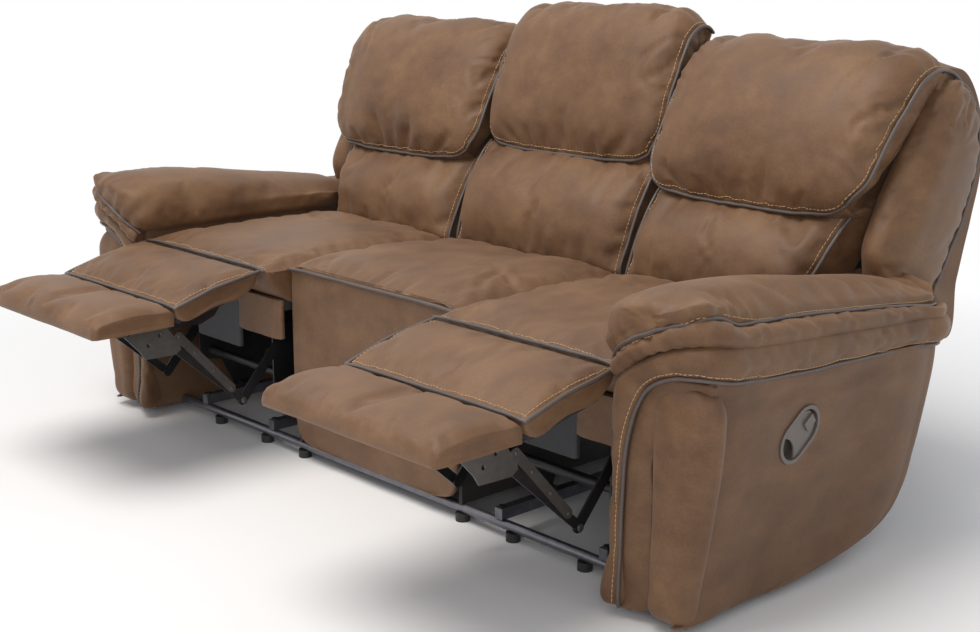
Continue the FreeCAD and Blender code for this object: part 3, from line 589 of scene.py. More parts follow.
# Suedes: dark, middle and light colour, roughness and sheen. The plain finishes: a darker and
# a lighter colour, roughness, then metallic, noise scale and bump where they differ from the usual.
SUEDE = suede("suede", (0.110, 0.053, 0.025), (0.152, 0.078, 0.037), (0.198, 0.107, 0.052), 0.55, 0.13)
PANEL = suede("suede_panel", (0.108, 0.054, 0.027), (0.145, 0.076, 0.039), (0.184, 0.100, 0.052), 0.60, 0.11)
PIPING = plain("piping", ((0.068, 0.050, 0.043), (0.115, 0.090, 0.080)), 0.42, scale=260.0, bump=0.2)
THREAD = plain("thread", ((0.42, 0.25, 0.12), (0.58, 0.38, 0.20)), 0.6, scale=900.0, bump=0.3)
LINING = plain("lining", ((0.030, 0.030, 0.034), (0.062, 0.062, 0.070)), 0.8, scale=420.0, bump=0.3,
               sheen=0.1)
TIMBER = plain("timber", ((0.30, 0.18, 0.09), (0.50, 0.34, 0.19)), 0.7, scale=26.0, stretch=(1, 1, 8))
BLACK_STEEL = plain("black_steel", ((0.012, 0.012, 0.014), (0.028, 0.027, 0.028)), 0.38, 0.4, 130.0, 0.08)
TUBE_STEEL = plain("tube_steel", ((0.13, 0.13, 0.145), (0.21, 0.21, 0.235)), 0.34, 0.85, 60.0, 0.06)
BRACKET_STEEL = plain("bracket_steel", ((0.085, 0.080, 0.075), (0.120, 0.113, 0.106)), 0.42, 0.6, 60.0, 0.06)
SPRING_STEEL = plain("spring_steel", ((0.30, 0.30, 0.32), (0.45, 0.45, 0.47)), 0.3, 0.9, 70.0, 0.06)
HANDLE = plain("handle_plastic", ((0.115, 0.098, 0.085), (0.165, 0.142, 0.125)), 0.45, 0.0, 240.0, 0.12)
FOOT = plain("foot_plastic", ((0.010, 0.010, 0.010), (0.022, 0.022, 0.022)), 0.5, 0.0, 200.0, 0.1)
DARK_LINING = plain("dark_lining", ((0.016, 0.013, 0.012), (0.034, 0.028, 0.025)), 0.75, scale=420.0,
                    bump=0.3)

COVER_LOOKS = {"suede": (SUEDE, PIPING, THREAD), "suede_panel": (PANEL, PIPING, THREAD), "lining": (LINING,)}
SLOT_LOOKS = {
    "suede": SUEDE, "suede_panel": PANEL, "lining": LINING, "timber": TIMBER,
    "black_steel": BLACK_STEEL, "tube_steel": TUBE_STEEL, "spring_steel": SPRING_STEEL,
    "handle_plastic": HANDLE, "foot_plastic": FOOT,
}
for part in frame["record"]["subparts"]:
    node = frame["nodes"][part["node"]]
    node.data.materials.clear()
    node.data.materials.append(SLOT_LOOKS[part["material_slot"]])
for dark in ("centre_seat_frame", "arm_frames"):
    frame["nodes"][dark].material_slots[0].material = DARK_LINING
for _, suffix in SIDES:
    for board in ("chaise_board", "footrest_board", "seat_frame"):
        frame["nodes"][board + suffix].material_slots[0].material = DARK_LINING
    frame["nodes"]["footrest_bracket" + suffix].material_slots[0].material = BRACKET_STEEL


# The timber of the backs, cut down at the top so that it stays inside the upholstery

SQUEEZE = 0.1


def lowered_frame(node, name, limit, wide, body, look):
    """Copy of a timber frame, pressed together above limit and beyond wide."""
    source = frame["nodes"][node]
    mesh = source.data.copy()
    mesh.name = name
    world = source.matrix_world.copy()
    back = world.inverted()
    for vertex in mesh.vertices:
        spot = world @ vertex.co
        if spot.z > limit:
            spot.z = limit + (spot.z - limit) * SQUEEZE
        if abs(spot.x) > wide:
            spot.x = math.copysign(wide + (abs(spot.x) - wide) * SQUEEZE, spot.x)
        vertex.co = back @ spot
    obj = add_object(name, mesh)
    obj.matrix_world = world
    mesh.materials.clear()
    mesh.materials.append(look)
    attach(obj, body)
    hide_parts(node)


for _, suffix in SIDES:
    lowered_frame("back_frame" + suffix, "back_timber" + suffix, 0.945, 0.845, "back" + suffix, DARK_LINING)
lowered_frame("centre_back_frame", "centre_back_timber", 0.965, 0.280, "base", PANEL)


# Outlines of the soft pieces: most functions give a Soft for the right-hand side

def points_mm(*items):
    """Metres from millimetres, for plain numbers or for points."""
    return [tuple(value / 1000 for value in item) if isinstance(item, tuple) else item / 1000
            for item in items]


def lay(points_yz, xs):
    """One row of control points from (y, z) pairs and an x for each."""
    return [(x, y, z) for x, (y, z) in zip(xs, points_yz)]


def drawn(points, centre, factor):
    """Points drawn towards a centre."""
    return [tuple(c + (p - c) * factor for p, c in zip(point, centre)) for point in points]


def middle(points):
    return tuple(np.mean(np.array(points), axis=0))


def blend_points(a, b, share):
    """Points a share of the way from one outline to another."""
    return [tuple(p + (q - p) * share for p, q in zip(first, second)) for first, second in zip(a, b)]


def capped(rows, scales=(0.55, 0.15)):
    """Rows with shrinking rings added at both ends, so that the ends close."""
    first, last = rows[0], rows[-1]
    start = [drawn(first, middle(first), scale) for scale in reversed(scales)]
    return start + rows + [drawn(last, middle(last), scale) for scale in scales]


def held_mask(soft, chains, columns, rows):
    """Points that the cloth keeps in place: seams, and the hidden columns and rows."""
    mask = np.zeros(soft.grid.shape[:2], bool)
    for chain in chains:
        for row, column in chain:
            mask[row, column] = True
            mask[row - row % SIM_SCALE, column - column % SIM_SCALE] = True
    mask[:, soft.columns[columns[0]]:soft.columns[columns[1]] + 1] = True
    mask[:soft.rows[rows[0]] + 1] = True
    mask[soft.rows[rows[1]]:] = True
    return mask


def rows_across(profile, edge, x_in, x_out, steps):
    """Rows from side to side; a step is a share of the way and how far the row is set back."""
    return [lay(blend_points(profile, edge, setback), [a + (b - a) * share for a, b in zip(x_in, x_out)])
            for share, setback in steps]


def pillow_rows(profile, edge, crease, x_in, x_out, crease_x_in, crease_x_out):
    """Rows of a back pillow from its inner to its outer side, with a crease at both ends."""
    rows = rows_across(profile, edge, x_in, x_out, (
        (0.0, 1.0), (0.045, 0.42), (0.16, 0.10), (0.5, 0.0), (0.84, 0.10), (0.955, 0.42), (1.0, 1.0)))
    return capped([lay(crease, crease_x_in)] + rows + [lay(crease, crease_x_out)])


def recliner_pillow():
    profile = points_mm(
        (334, 677), (317, 730), (336, 808), (372, 888), (424, 966), (490, 1020), (540, 1033), (582, 1012),
        (578, 986), (502, 790), (462, 690), (400, 668))
    edge = points_mm(
        (344, 704), (362, 750), (396, 820), (436, 890), (474, 942), (512, 966), (552, 972), (585, 965),
        (580, 950), (508, 790), (466, 700), (400, 672))
    crease = points_mm(
        (376, 684), (425, 752), (480, 825), (516, 882), (540, 925), (558, 944), (572, 948), (582, 945),
        (578, 935), (520, 800), (470, 715), (420, 690))
    x_out = points_mm(848, 884, 899, 911, 920, 924, 922, 915, 905, 880, 860, 850)
    x_in = points_mm(324, 304, 302, 303, 306, 311, 315, 318, 320, 320, 322, 328)
    deep_out = [x - 0.012 for x in x_out]
    deep_in = [x + 0.008 for x in x_in]
    rows = pillow_rows(profile, edge, crease, x_in, x_out, deep_in, deep_out)
    return Soft(rows, sharp_rows=(3, 9))


def centre_pillow():
    profile = points_mm(
        (378, 722), (364, 786), (388, 870), (420, 955), (462, 1030), (510, 1080), (556, 1086), (588, 1055),
        (576, 1010), (500, 820), (470, 722), (430, 706))
    edge = points_mm(
        (392, 748), (404, 796), (424, 868), (458, 945), (492, 1005), (530, 1035), (562, 1036), (586, 1020),
        (574, 990), (505, 820), (474, 728), (432, 710))
    crease = points_mm(
        (410, 735), (440, 798), (468, 868), (500, 935), (530, 985), (552, 1005), (568, 1008), (578, 1000),
        (570, 980), (520, 830), (480, 745), (445, 728))
    x_out = points_mm(268, 289, 292, 291, 288, 284, 282, 280, 280, 280, 276, 268)
    x_in = [-x for x in x_out]
    rows = pillow_rows(profile, edge, crease, x_in, x_out, [x + 0.010 for x in x_in],
                       [x - 0.010 for x in x_out])
    return Soft(rows, sharp_rows=(3, 9))


def lumbar_rows(profile, edge, x_in, x_out):
    return capped(rows_across(profile, edge, x_in, x_out, (
        (0.0, 1.0), (0.05, 0.4), (0.18, 0.08), (0.5, 0.0), (0.82, 0.08), (0.95, 0.4), (1.0, 1.0))))


def recliner_lumbar():
    profile = points_mm(
        (256, 470), (248, 530), (268, 595), (314, 648), (366, 684), (440, 690), (452, 655), (415, 560),
        (376, 458), (310, 452))
    edge = points_mm(
        (270, 470), (288, 525), (318, 586), (352, 640), (388, 676), (440, 680), (450, 650), (415, 560),
        (378, 462), (320, 456))
    x_out = points_mm(786, 796, 813, 828, 838, 860, 862, 836, 818, 800)
    x_in = [0.314] * 10
    return Soft(lumbar_rows(profile, edge, x_in, x_out), sharp_rows=(2, 8))


def centre_lumbar():
    profile = points_mm(
        (262, 470), (254, 540), (278, 622), (336, 690), (396, 728), (460, 735), (466, 700), (436, 580),
        (404, 458), (320, 452))
    edge = points_mm(
        (278, 472), (294, 536), (326, 616), (368, 684), (406, 722), (460, 728), (466, 700), (436, 580),
        (404, 462), (332, 456))
    x_out = points_mm(282, 286, 288, 288, 286, 284, 284, 284, 284, 284)
    return Soft(lumbar_rows(profile, edge, [-x for x in x_out], x_out), sharp_rows=(2, 8))


def wing():
    front = points_mm(
        (385, 500), (372, 560), (360, 612), (386, 675), (432, 750), (489, 830), (528, 888), (556, 930),
        (578, 952))
    rear = points_mm(
        (552, 490), (598, 528), (640, 588), (678, 645), (720, 748), (724, 805), (702, 880), (655, 930),
        (612, 948))
    columns = [(1.0, 0.922), (0.72, 0.940), (0.42, 0.948), (0.16, 0.946), (0.02, 0.926), (0.0, 0.895),
               (0.10, 0.866), (0.5, 0.857), (0.95, 0.857)]
    rows = [[(x, fy + (ry - fy) * share, fz + (rz - fz) * share) for share, x in columns]
            for (fy, fz), (ry, rz) in zip(front, rear)]
    return Soft(capped(rows), sharp_columns=(0,))


def recliner_back_cover():
    inner = points_mm(
        (552, 490), (597, 524), (678, 642), (722, 746), (726, 803), (704, 883), (640, 958), (592, 982),
        (556, 980))
    outer = points_mm(
        (634, 380), (679, 506), (724, 647), (746, 745), (742, 812), (716, 893), (657, 977), (600, 1012),
        (560, 1014))
    lowered = (0, 0, 0, 0, 0, 0, 0.25, 0.8, 1.0)
    rows = []
    across = (0.0, 0.12, 0.5, 0.80, 0.93, 1.0)
    drop = (0.034, 0.012, 0.0, 0.010, 0.034, 0.050)
    for index, (front, back) in enumerate(zip(inner, outer)):
        x_low, x_high = 0.325, 0.922 if index < 6 else 0.915
        swell = 0.016 * math.sin(math.pi * (index + 0.6) / 9.2)
        row = []
        for share, fall in zip(across, drop):
            rise = swell * (1 - abs(2 * share - 1) ** 3)
            row.append((x_low + (x_high - x_low) * share, back[0] + rise, back[1] - fall * lowered[index]))
        for share, fall in reversed(list(zip(across, drop))):
            row.append((x_low + (x_high - x_low) * share, front[0], front[1] - fall * lowered[index]))
        rows.append(row)
    return Soft(capped(rows, (0.9, 0.5)), sharp_columns=(0, 5, 6, 11))


def centre_back_cover():
    inner = points_mm((540, 64), (570, 335), (598, 655), (608, 840), (602, 925), (586, 986), (560, 1000))
    outer = points_mm((562, 62), (594, 330), (622, 650), (632, 842), (628, 935), (612, 1008), (572, 1036))
    lowered = (0, 0, 0, 0, 0.1, 0.7, 1.0)
    rows = []
    across = (-1.0, -0.8, 0.0, 0.8, 1.0)
    for index, (front, back) in enumerate(zip(inner, outer)):
        swell = 0.010 * math.sin(math.pi * (index + 0.5) / 7.0)
        row = [(share * 0.291, back[0] + swell * (1 - abs(share) ** 3),
                back[1] - 0.045 * lowered[index] * abs(share) ** 4) for share in across]
        row += [(share * 0.291, front[0], front[1] - 0.045 * lowered[index] * abs(share) ** 4)
                for share in reversed(across)]
        rows.append(row)
    return Soft(capped(rows, (0.9, 0.5)), sharp_columns=(0, 4, 5, 9))


def seat_rows(profile, x_in, x_out, edge_drop):
    """Rows of a seat or footrest cushion from side to side; its ends are drawn in and lower.

    A profile point is y, z and how far it takes part in the drop at the ends.
    """
    width = x_out - x_in
    steps = ((0.0, 1.0), (0.03, 0.45), (0.12, 0.12), (0.5, 0.0), (0.88, 0.12), (0.97, 0.45), (1.0, 1.0))
    return capped([[(x_in + width * share, y, z - edge_drop * setback * top) for y, z, top in profile]
                   for share, setback in steps])


def recliner_seat():
    profile = [(-0.318, 0.482, 0.3), (-0.27, 0.492, 0.8), (-0.15, 0.499, 1.0), (0.0, 0.502, 1.0),
               (0.13, 0.494, 1.0), (0.262, 0.472, 0.6), (0.276, 0.424, 0.0), (0.262, 0.402, 0.0),
               (-0.02, 0.402, 0.0), (-0.262, 0.402, 0.0), (-0.290, 0.424, 0.0)]
    return Soft(seat_rows(profile, 0.308, 0.822, 0.016), sharp_columns=(0,))


def centre_seat():
    profile = [(-0.250, 0.478, 0.3), (-0.200, 0.492, 0.8), (-0.10, 0.500, 1.0), (0.03, 0.502, 1.0),
               (0.15, 0.494, 1.0), (0.272, 0.474, 0.6), (0.290, 0.424, 0.0), (0.272, 0.402, 0.0),
               (0.0, 0.402, 0.0), (-0.226, 0.402, 0.0), (-0.236, 0.442, 0.0)]
    return Soft(seat_rows(profile, -0.292, 0.292, 0.014), sharp_columns=(0,))


def chaise_point(out, down):
    """Place on the sloping chaise pad, from its distance out from the seat's seam and down from its top."""
    slope = math.radians(11.9)
    return (-0.323 - out * math.cos(slope) + down * math.sin(slope),
            0.478 - out * math.sin(slope) - down * math.cos(slope))


def chaise():
    outline = [(0.006, 0.0, 0.2), (0.04, -0.010, 0.9), (0.12, -0.016, 1.0), (0.20, -0.010, 0.9),
               (0.238, 0.002, 0.3), (0.242, 0.018, 0.0), (0.232, 0.036, 0.0), (0.14, 0.038, 0.0),
               (0.048, 0.038, 0.0), (0.014, 0.018, 0.0)]
    profile = [chaise_point(out, down) + (top,) for out, down, top in outline]
    return Soft(seat_rows(profile, 0.317, 0.822, 0.014), sharp_columns=(0, 4))


def footrest():
    profile = [(-0.563, 0.420, 0.4), (-0.60, 0.431, 1.0), (-0.66, 0.435, 1.0), (-0.72, 0.430, 1.0),
               (-0.755, 0.418, 0.6), (-0.765, 0.402, 0.1), (-0.762, 0.384, 0.0), (-0.66, 0.3835, 0.0),
               (-0.560, 0.384, 0.0)]
    return Soft(seat_rows(profile, 0.318, 0.819, 0.010), sharp_columns=(6, 8))


PANEL_SLOPE = 0.088


def panel_face(z):
    """X of the leaning face of the arm's side panel."""
    return 1.004 + PANEL_SLOPE * (z - 0.020)


def arm_crest(y):
    """Height of the arm's top pad at its highest."""
    return float(np.interp(y, (-0.31, -0.218, -0.102, 0.016, 0.148, 0.28, 0.43),
                           (0.637, 0.635, 0.624, 0.607, 0.588, 0.571, 0.550)))


def seam_a(y):
    """Height of the piping under the arm's top pad."""
    return float(np.interp(y, (-0.345, -0.305, -0.253, -0.2, -0.098, 0.085, 0.329, 0.43),
                           (0.613, 0.606, 0.582, 0.575, 0.568, 0.550, 0.522, 0.508)))


def fold_line(y):
    """Height of the fold between the arm's two bands."""
    return float(np.interp(y, (-0.323, -0.173, -0.033, 0.118, 0.272, 0.43),
                           (0.558, 0.541, 0.529, 0.518, 0.506, 0.492)))


def seam_b(y):
    """Height of the piping along the top of the arm's side panel."""
    return float(np.interp(y, (-0.324, -0.22, -0.082, 0.065, 0.331, 0.43),
                           (0.500, 0.481, 0.470, 0.462, 0.445, 0.436)))


def top_pad():
    """Pad over the arm; rows run from the front nose to the rear."""
    rows = []
    stations = [(-0.374, 0.36), (-0.370, 0.60), (-0.356, 0.82), (-0.332, 0.95), (-0.29, 1.0), (-0.20, 1.0),
                (-0.08, 1.0), (0.09, 1.0), (0.28, 1.0), (0.385, 0.99), (0.415, 0.92), (0.428, 0.75)]
    nose = (0.942, 0.602)
    for y, size in stations:
        crest = arm_crest(y) - 0.002
        outer = seam_a(y)
        row = [
            (1.034, outer), (1.032, outer + 0.022), (1.002, crest - 0.006), (0.945, crest + 0.003),
            (0.872, crest - 0.011), (0.820, crest - 0.040), (0.804, 0.541), (0.812, 0.512), (0.832, 0.497),
            (0.94, (0.497 + outer) / 2 - 0.012),
        ]
        rows.append([(nose[0] + (x - nose[0]) * size, y, nose[1] + (z - nose[1]) * size) for x, z in row])
    return Soft(capped(rows), sharp_columns=(0,))


def side_band(top_path, low_path, bulge, depth):
    """Padded band that hangs round the front and the outer side of the arm between two seams."""
    top = np.array(top_path)
    low = np.array(low_path)
    rows = []
    centre = (top + low) / 2
    run = np.gradient(centre, axis=0)
    fall = low - top
    out = np.cross(run, fall)
    out /= np.linalg.norm(out, axis=1, keepdims=True)
    for a, b, o in zip(top, low, out):
        if o[0] - o[1] < 0:
            o = -o
        row = [a, a + (b - a) * 0.14 + o * bulge * 0.62, a + (b - a) * 0.42 + o * bulge,
               a + (b - a) * 0.75 + o * bulge * 0.8, b, b - o * depth,
               a + (b - a) * 0.5 - o * depth, a - o * depth]
        rows.append([tuple(p) for p in row])
    return rows


def upper_band():
    top = points_mm(
        (834, -340, 498), (852, -353, 519), (887, -363, 546), (940, -366, 573), (992, -359, 597),
        (1024, -336, 607), (1037, -298, 602), (1036, -253, 582))
    low = points_mm(
        (846, -336, 468), (868, -346, 482), (900, -353, 510), (948, -357, 536), (998, -354, 553),
        (1037, -340, 561), (1058, -305, 557), (1062, -255, 550))
    for y in (-0.18, -0.08, 0.06, 0.20, 0.32, 0.405, 0.425):
        end = 0.012 if y > 0.41 else 0.0
        top.append((1.034 - end, y, seam_a(y)))
        low.append((1.061 - 0.004 * (y + 0.2) - end, y, fold_line(y)))
    return Soft(capped(side_band(top, low, 0.016, 0.028)), sharp_columns=(0, 4))


def lower_band():
    top = points_mm(
        (834, -326, 26), (832, -328, 130), (832, -330, 234), (832, -332, 340), (834, -336, 415),
        (844, -340, 466), (866, -344, 488), (902, -348, 511), (950, -351, 536), (1000, -349, 554),
        (1037, -336, 561), (1058, -303, 557), (1062, -255, 549))
    low = points_mm(
        (854, -340, 26), (857, -342, 130), (860, -343, 234), (866, -344, 326), (876, -345, 377),
        (892, -345, 424), (912, -345, 459), (943, -345, 483), (985, -345, 498), (1020, -342, 503),
        (1046, -328, 503), (1052, -296, 495), (1051, -250, 486))
    for y in (-0.18, -0.08, 0.06, 0.20, 0.32, 0.41, 0.432):
        end = 0.012 if y > 0.42 else 0.0
        top.append((1.062 - 0.004 * (y + 0.2) - end, y, fold_line(y) - 0.001))
        low.append((panel_face(seam_b(y)) + 0.003 - end, y, seam_b(y)))
    return Soft(capped(side_band(top, low, 0.015, 0.026)), sharp_columns=(0, 4))


def arm_pillar():
    """Padded post on the arm's front, arched at the top."""
    face = -0.322
    rows = []
    for z, low_x, high_x, proud in ((0.020, 0.930, 1.000, 0.006), (0.032, 0.922, 1.008, 0.018),
                                    (0.09, 0.920, 1.020, 0.024), (0.20, 0.920, 1.040, 0.026),
                                    (0.32, 0.920, 1.056, 0.026), (0.40, 0.922, 1.062, 0.026),
                                    (0.448, 0.930, 1.058, 0.022), (0.471, 0.952, 1.038, 0.012),
                                    (0.479, 0.975, 1.015, 0.004)):
        span = high_x - low_x
        rows.append([(low_x, face, z), (low_x + 0.10 * span, face - proud * 0.8, z),
                     (low_x + 0.45 * span, face - proud * 1.05, z),
                     (low_x + 0.85 * span, face - proud * 0.85, z),
                     (high_x, face + 0.002, z), (high_x, face + 0.020, z), (low_x, face + 0.020, z)])
    return Soft(capped(rows), sharp_columns=(0, 4, 5, 6))


def arm_strip():
    """Flat padded strip beside the post, between the inner corner and the post's seam."""
    rows = []
    for z, low_x, high_x in ((0.022, 0.850, 0.900), (0.034, 0.850, 0.921), (0.12, 0.852, 0.922),
                             (0.25, 0.855, 0.922), (0.34, 0.862, 0.930), (0.38, 0.872, 1.010),
                             (0.42, 0.884, 1.030), (0.450, 0.900, 1.034), (0.490, 0.935, 1.038)):
        turn, edge = (0.050, -0.320) if z > 0.36 else (0.020, -0.328)
        rows.append([(low_x, -0.322, z), (low_x + 0.004, -0.336, z), (low_x + 0.03, -0.339, z),
                     (high_x - turn, -0.336, z), (high_x, edge, z), (high_x, -0.312, z), (low_x, -0.312, z)])
    return Soft(capped(rows), sharp_columns=(4, 5, 6))


def outer_panel():
    """Padded side of the arm. Rows go up; columns go back along the outer face and return inside."""
    rear = ((0.022, -0.02), (0.034, 0.246), (0.062, 0.325), (0.107, 0.366), (0.24, 0.407), (0.34, 0.420),
            (0.40, 0.425), (0.452, 0.420))
    rows = []
    for z in (0.022, 0.030, 0.05, 0.08, 0.12, 0.20, 0.30, 0.40, 0.44, 0.470, 0.495):
        back = float(np.interp(z, [p[0] for p in rear], [p[1] for p in rear]))
        face = panel_face(z)
        shift = 0.006 if z < 0.025 else 0.0
        ys = [-0.320 + (back + 0.320) * share for share in (0.0, 0.03, 0.3, 0.6, 0.95, 1.0)]
        out = (face - 0.004 - shift, face + 0.001 - shift, face + 0.003 - shift, face + 0.003 - shift,
               face - shift, face - 0.010 - shift)
        row = [(x, y, min(z, seam_b(y) + 0.002)) for x, y in zip(out, ys)]
        row += [(face - 0.017, ys[-1] - 0.002, min(z, seam_b(ys[-1]) + 0.002)),
                (face - 0.017, ys[0], min(z, seam_b(ys[0]) + 0.002))]
        rows.append(row)
    return Soft(capped(rows, (0.97, 0.4)), sharp_columns=(6, 7), spacing=0.009)


def seat_front(low_x, high_x, index):
    """One strip of the cloth that closes a recliner seat's front, under its chaise pad."""
    proud = 0.004 if index != 1 else 0.0
    foot = 0.252 if index == 1 else 0.304
    rows = []
    for z in (foot, foot + 0.008, 0.32, 0.38, 0.398):
        row = [(low_x + (high_x - low_x) * share, -0.2725 - proud * (1 if 0 < share < 1 else 0.3), z)
               for share in (0.0, 0.06, 0.5, 0.94, 1.0)]
        row += [(high_x, -0.264, z), (low_x, -0.264, z)]
        rows.append(row)
    return Soft(capped(rows), sharp_columns=(4, 5, 6))


def centre_front():
    """Padded front of the fixed seat, with rounded lower corners."""
    rows = []
    for z, half in ((0.045, 0.235), (0.052, 0.268), (0.07, 0.286), (0.10, 0.293), (0.25, 0.294),
                    (0.40, 0.294), (0.446, 0.293), (0.470, 0.290), (0.478, 0.285)):
        out = 0.010 * math.sin(math.pi * min(1.0, (z - 0.03) / 0.47)) + (0.004 if z > 0.44 else 0.0)
        row = [(share * half, -0.246 - out * (1 - abs(share) ** 4), z)
               for share in (-1, -0.9, -0.45, 0, 0.45, 0.9, 1)]
        row += [(half, -0.237, z), (-half, -0.237, z)]
        rows.append(row)
    return Soft(capped(rows), sharp_columns=(7, 8))


# Handle opening in the arm's side, in the handle's own tilted frame

CUP_LENGTH = 0.116
CUP_HEIGHT = 0.076
CUP_TILT = math.radians(38.0)
PANEL_LEAN = math.atan(PANEL_SLOPE)
CUP_CENTRE = Vector((panel_face(0.336), -0.041, 0.336))


def cup_matrix():
    lean, tilt = Matrix.Rotation(PANEL_LEAN, 4, "Y"), Matrix.Rotation(CUP_TILT, 4, "X")
    return Matrix.Translation(CUP_CENTRE) @ lean @ tilt


def oval_outline(length, height, count=40):
    """Two half circles joined by straight sides."""
    half = (length - height) / 2
    points = []
    for index in range(count):
        turn = 2 * math.pi * index / count
        shift = half if math.cos(turn) >= 0 else -half
        points.append((shift + height / 2 * math.cos(turn), height / 2 * math.sin(turn)))
    return points


def press_cup_seat(soft):
    """Presses the padding down round the handle, where the cup's rim holds it."""
    inverse = np.array(cup_matrix().inverted())
    spots = soft.points() @ inverse[:3, :3].T + inverse[:3, 3]
    reach = np.sqrt((spots[:, 1] / 0.086) ** 2 + (spots[:, 2] / 0.066) ** 2)
    share = np.clip(1.55 - reach, 0, 1)
    share = share * share * (3 - 2 * share)
    outside = np.abs(spots[:, 0]) < 0.012
    change = np.where(outside, (-0.0010 - spots[:, 0]) * share, 0.0)
    across = np.array(cup_matrix())[:3, 0]
    soft.grid = soft.grid + (change[:, None] * across).reshape(soft.grid.shape)


def cut_cup_hole(obj, side):
    """Cuts the oval opening for the handle's cup through a finished side panel."""
    matrix = cup_matrix()
    points, faces = [], []
    outline = oval_outline(CUP_LENGTH + 0.003, CUP_HEIGHT + 0.003)
    count = len(outline)
    for depth in (-0.06, 0.03):
        for y, z in outline:
            spot = matrix @ Vector((depth, y, z))
            points.append((spot.x * side, spot.y, spot.z))
    faces.append(tuple(range(count)))
    faces.append(tuple(range(2 * count - 1, count - 1, -1)))
    for index in range(count):
        ahead = (index + 1) % count
        faces.append((index, index + count, ahead + count, ahead))
    if side > 0:
        faces = [face[::-1] for face in faces]
    cutter = add_object("cutter", new_mesh("cutter", points, faces))
    hole = obj.modifiers.new("hole", "BOOLEAN")
    hole.object = cutter
    hole.operation = "DIFFERENCE"
    hole.solver = "EXACT"
    graph = bpy.context.evaluated_depsgraph_get()
    result = bpy.data.meshes.new_from_object(obj.evaluated_get(graph))
    obj.modifiers.clear()
    obj.data = result
    bpy.data.objects.remove(cutter, do_unlink=True)


# The soft pieces, blown up by the cloth and then given folds, hollows and seams

def job(soft, rows, columns, hidden_columns, hidden_rows, pressure, slack, most):
    """Cloth job of a piece: its held seams, hidden parts, pressure, slack and largest shift."""
    chains = [soft.row_chain(row) for row in rows] + [soft.column_chain(column) for column in columns]
    return soft, held_mask(soft, chains, hidden_columns, hidden_rows), pressure, slack, most


pillow, mid_pillow = recliner_pillow(), centre_pillow()
lumbar, mid_lumbar = recliner_lumbar(), centre_lumbar()
side_wing = wing()
seat, mid_seat = recliner_seat(), centre_seat()
chaise_pad, foot_pad = chaise(), footrest()
arm_pad, band_high, band_low = top_pad(), upper_band(), lower_band()
inflate_all([
    job(pillow, (3, 9), (0,), (7, 11), (2, 10), 5.0, 0.04, 0.022),
    job(mid_pillow, (3, 9), (0,), (7, 11), (2, 10), 5.0, 0.04, 0.022),
    job(lumbar, (2, 8), (0,), (4, 9), (2, 8), 4.0, 0.03, 0.016),
    job(mid_lumbar, (2, 8), (0,), (4, 9), (2, 8), 4.0, 0.03, 0.016),
    job(side_wing, (), (0,), (5, 8), (1, 9), 3.0, 0.04, 0.010),
    job(seat, (2, 8), (0,), (5, 10), (2, 8), 2.5, 0.03, 0.010),
    job(mid_seat, (2, 8), (0,), (5, 10), (2, 8), 2.5, 0.03, 0.010),
    job(chaise_pad, (2, 8), (0, 4), (5, 9), (2, 8), 2.5, 0.03, 0.008),
    job(foot_pad, (2, 8), (), (5, 8), (2, 8), 2.5, 0.03, 0.008),
    job(arm_pad, (), (0,), (7, 9), (1, 12), 3.5, 0.025, 0.008),
    job(band_high, (), (0, 4), (4, 7), (1, 15), 2.0, 0.03, 0.005),
    job(band_low, (), (0, 4), (4, 7), (1, 20), 2.0, 0.02, 0.005),
])

FIRST_LUMP_SEED = 11
for seed, (soft, height) in enumerate((
        (pillow, 0.0045), (mid_pillow, 0.0045), (lumbar, 0.0035), (mid_lumbar, 0.0035), (side_wing, 0.003),
        (seat, 0.0035), (mid_seat, 0.0035), (chaise_pad, 0.0025), (foot_pad, 0.002), (arm_pad, 0.003),
        (band_high, 0.002), (band_low, 0.0015)), FIRST_LUMP_SEED):
    soft.lumps(seed, height)

# Each row: the piece, the seam and the piece that it lies on, then the folds' height, width and pitch.
FIRST_FOLD_SEED = 41
for seed, (soft, owner, chain, height, width, pitch) in enumerate((
        (pillow, pillow, pillow.column_chain(0, 3, 9), 0.0022, 0.030, 0.055),
        (pillow, pillow, pillow.row_chain(9, 0, 6), 0.0026, 0.028, 0.060),
        (mid_pillow, mid_pillow, mid_pillow.column_chain(0, 3, 9), 0.0022, 0.030, 0.055),
        (mid_pillow, mid_pillow, mid_pillow.row_chain(9, 0, 6), 0.0024, 0.028, 0.060),
        (lumbar, lumbar, lumbar.column_chain(0, 2, 8), 0.0035, 0.030, 0.070),
        (lumbar, lumbar, lumbar.row_chain(8, 0, 4), 0.0022, 0.025, 0.055),
        (mid_lumbar, mid_lumbar, mid_lumbar.column_chain(0, 2, 8), 0.0035, 0.030, 0.070),
        (mid_lumbar, mid_lumbar, mid_lumbar.row_chain(8, 0, 4), 0.0022, 0.025, 0.055),
        (arm_pad, band_high, band_high.column_chain(0, 2, 10), 0.0042, 0.024, 0.040),
        (arm_pad, band_high, band_high.column_chain(0, 9, -3), 0.0018, 0.022, 0.070),
        (band_high, band_high, band_high.column_chain(0, 2, 10), 0.0032, 0.018, 0.034),
        (band_low, band_low, band_low.column_chain(4, 8, 14), 0.0018, 0.018, 0.050),
        (seat, seat, seat.column_chain(0, 2, 8), 0.0022, 0.030, 0.080),
        (mid_seat, mid_seat, mid_seat.column_chain(0, 2, 8), 0.0022, 0.030, 0.080),
        (chaise_pad, chaise_pad, chaise_pad.column_chain(4, 2, 8), 0.0018, 0.022, 0.070),
        (side_wing, side_wing, side_wing.column_chain(0, 6, 10), 0.0035, 0.030, 0.050)), FIRST_FOLD_SEED):
    soft.gathers(owner.chain_points(chain), height, width, pitch, seed)

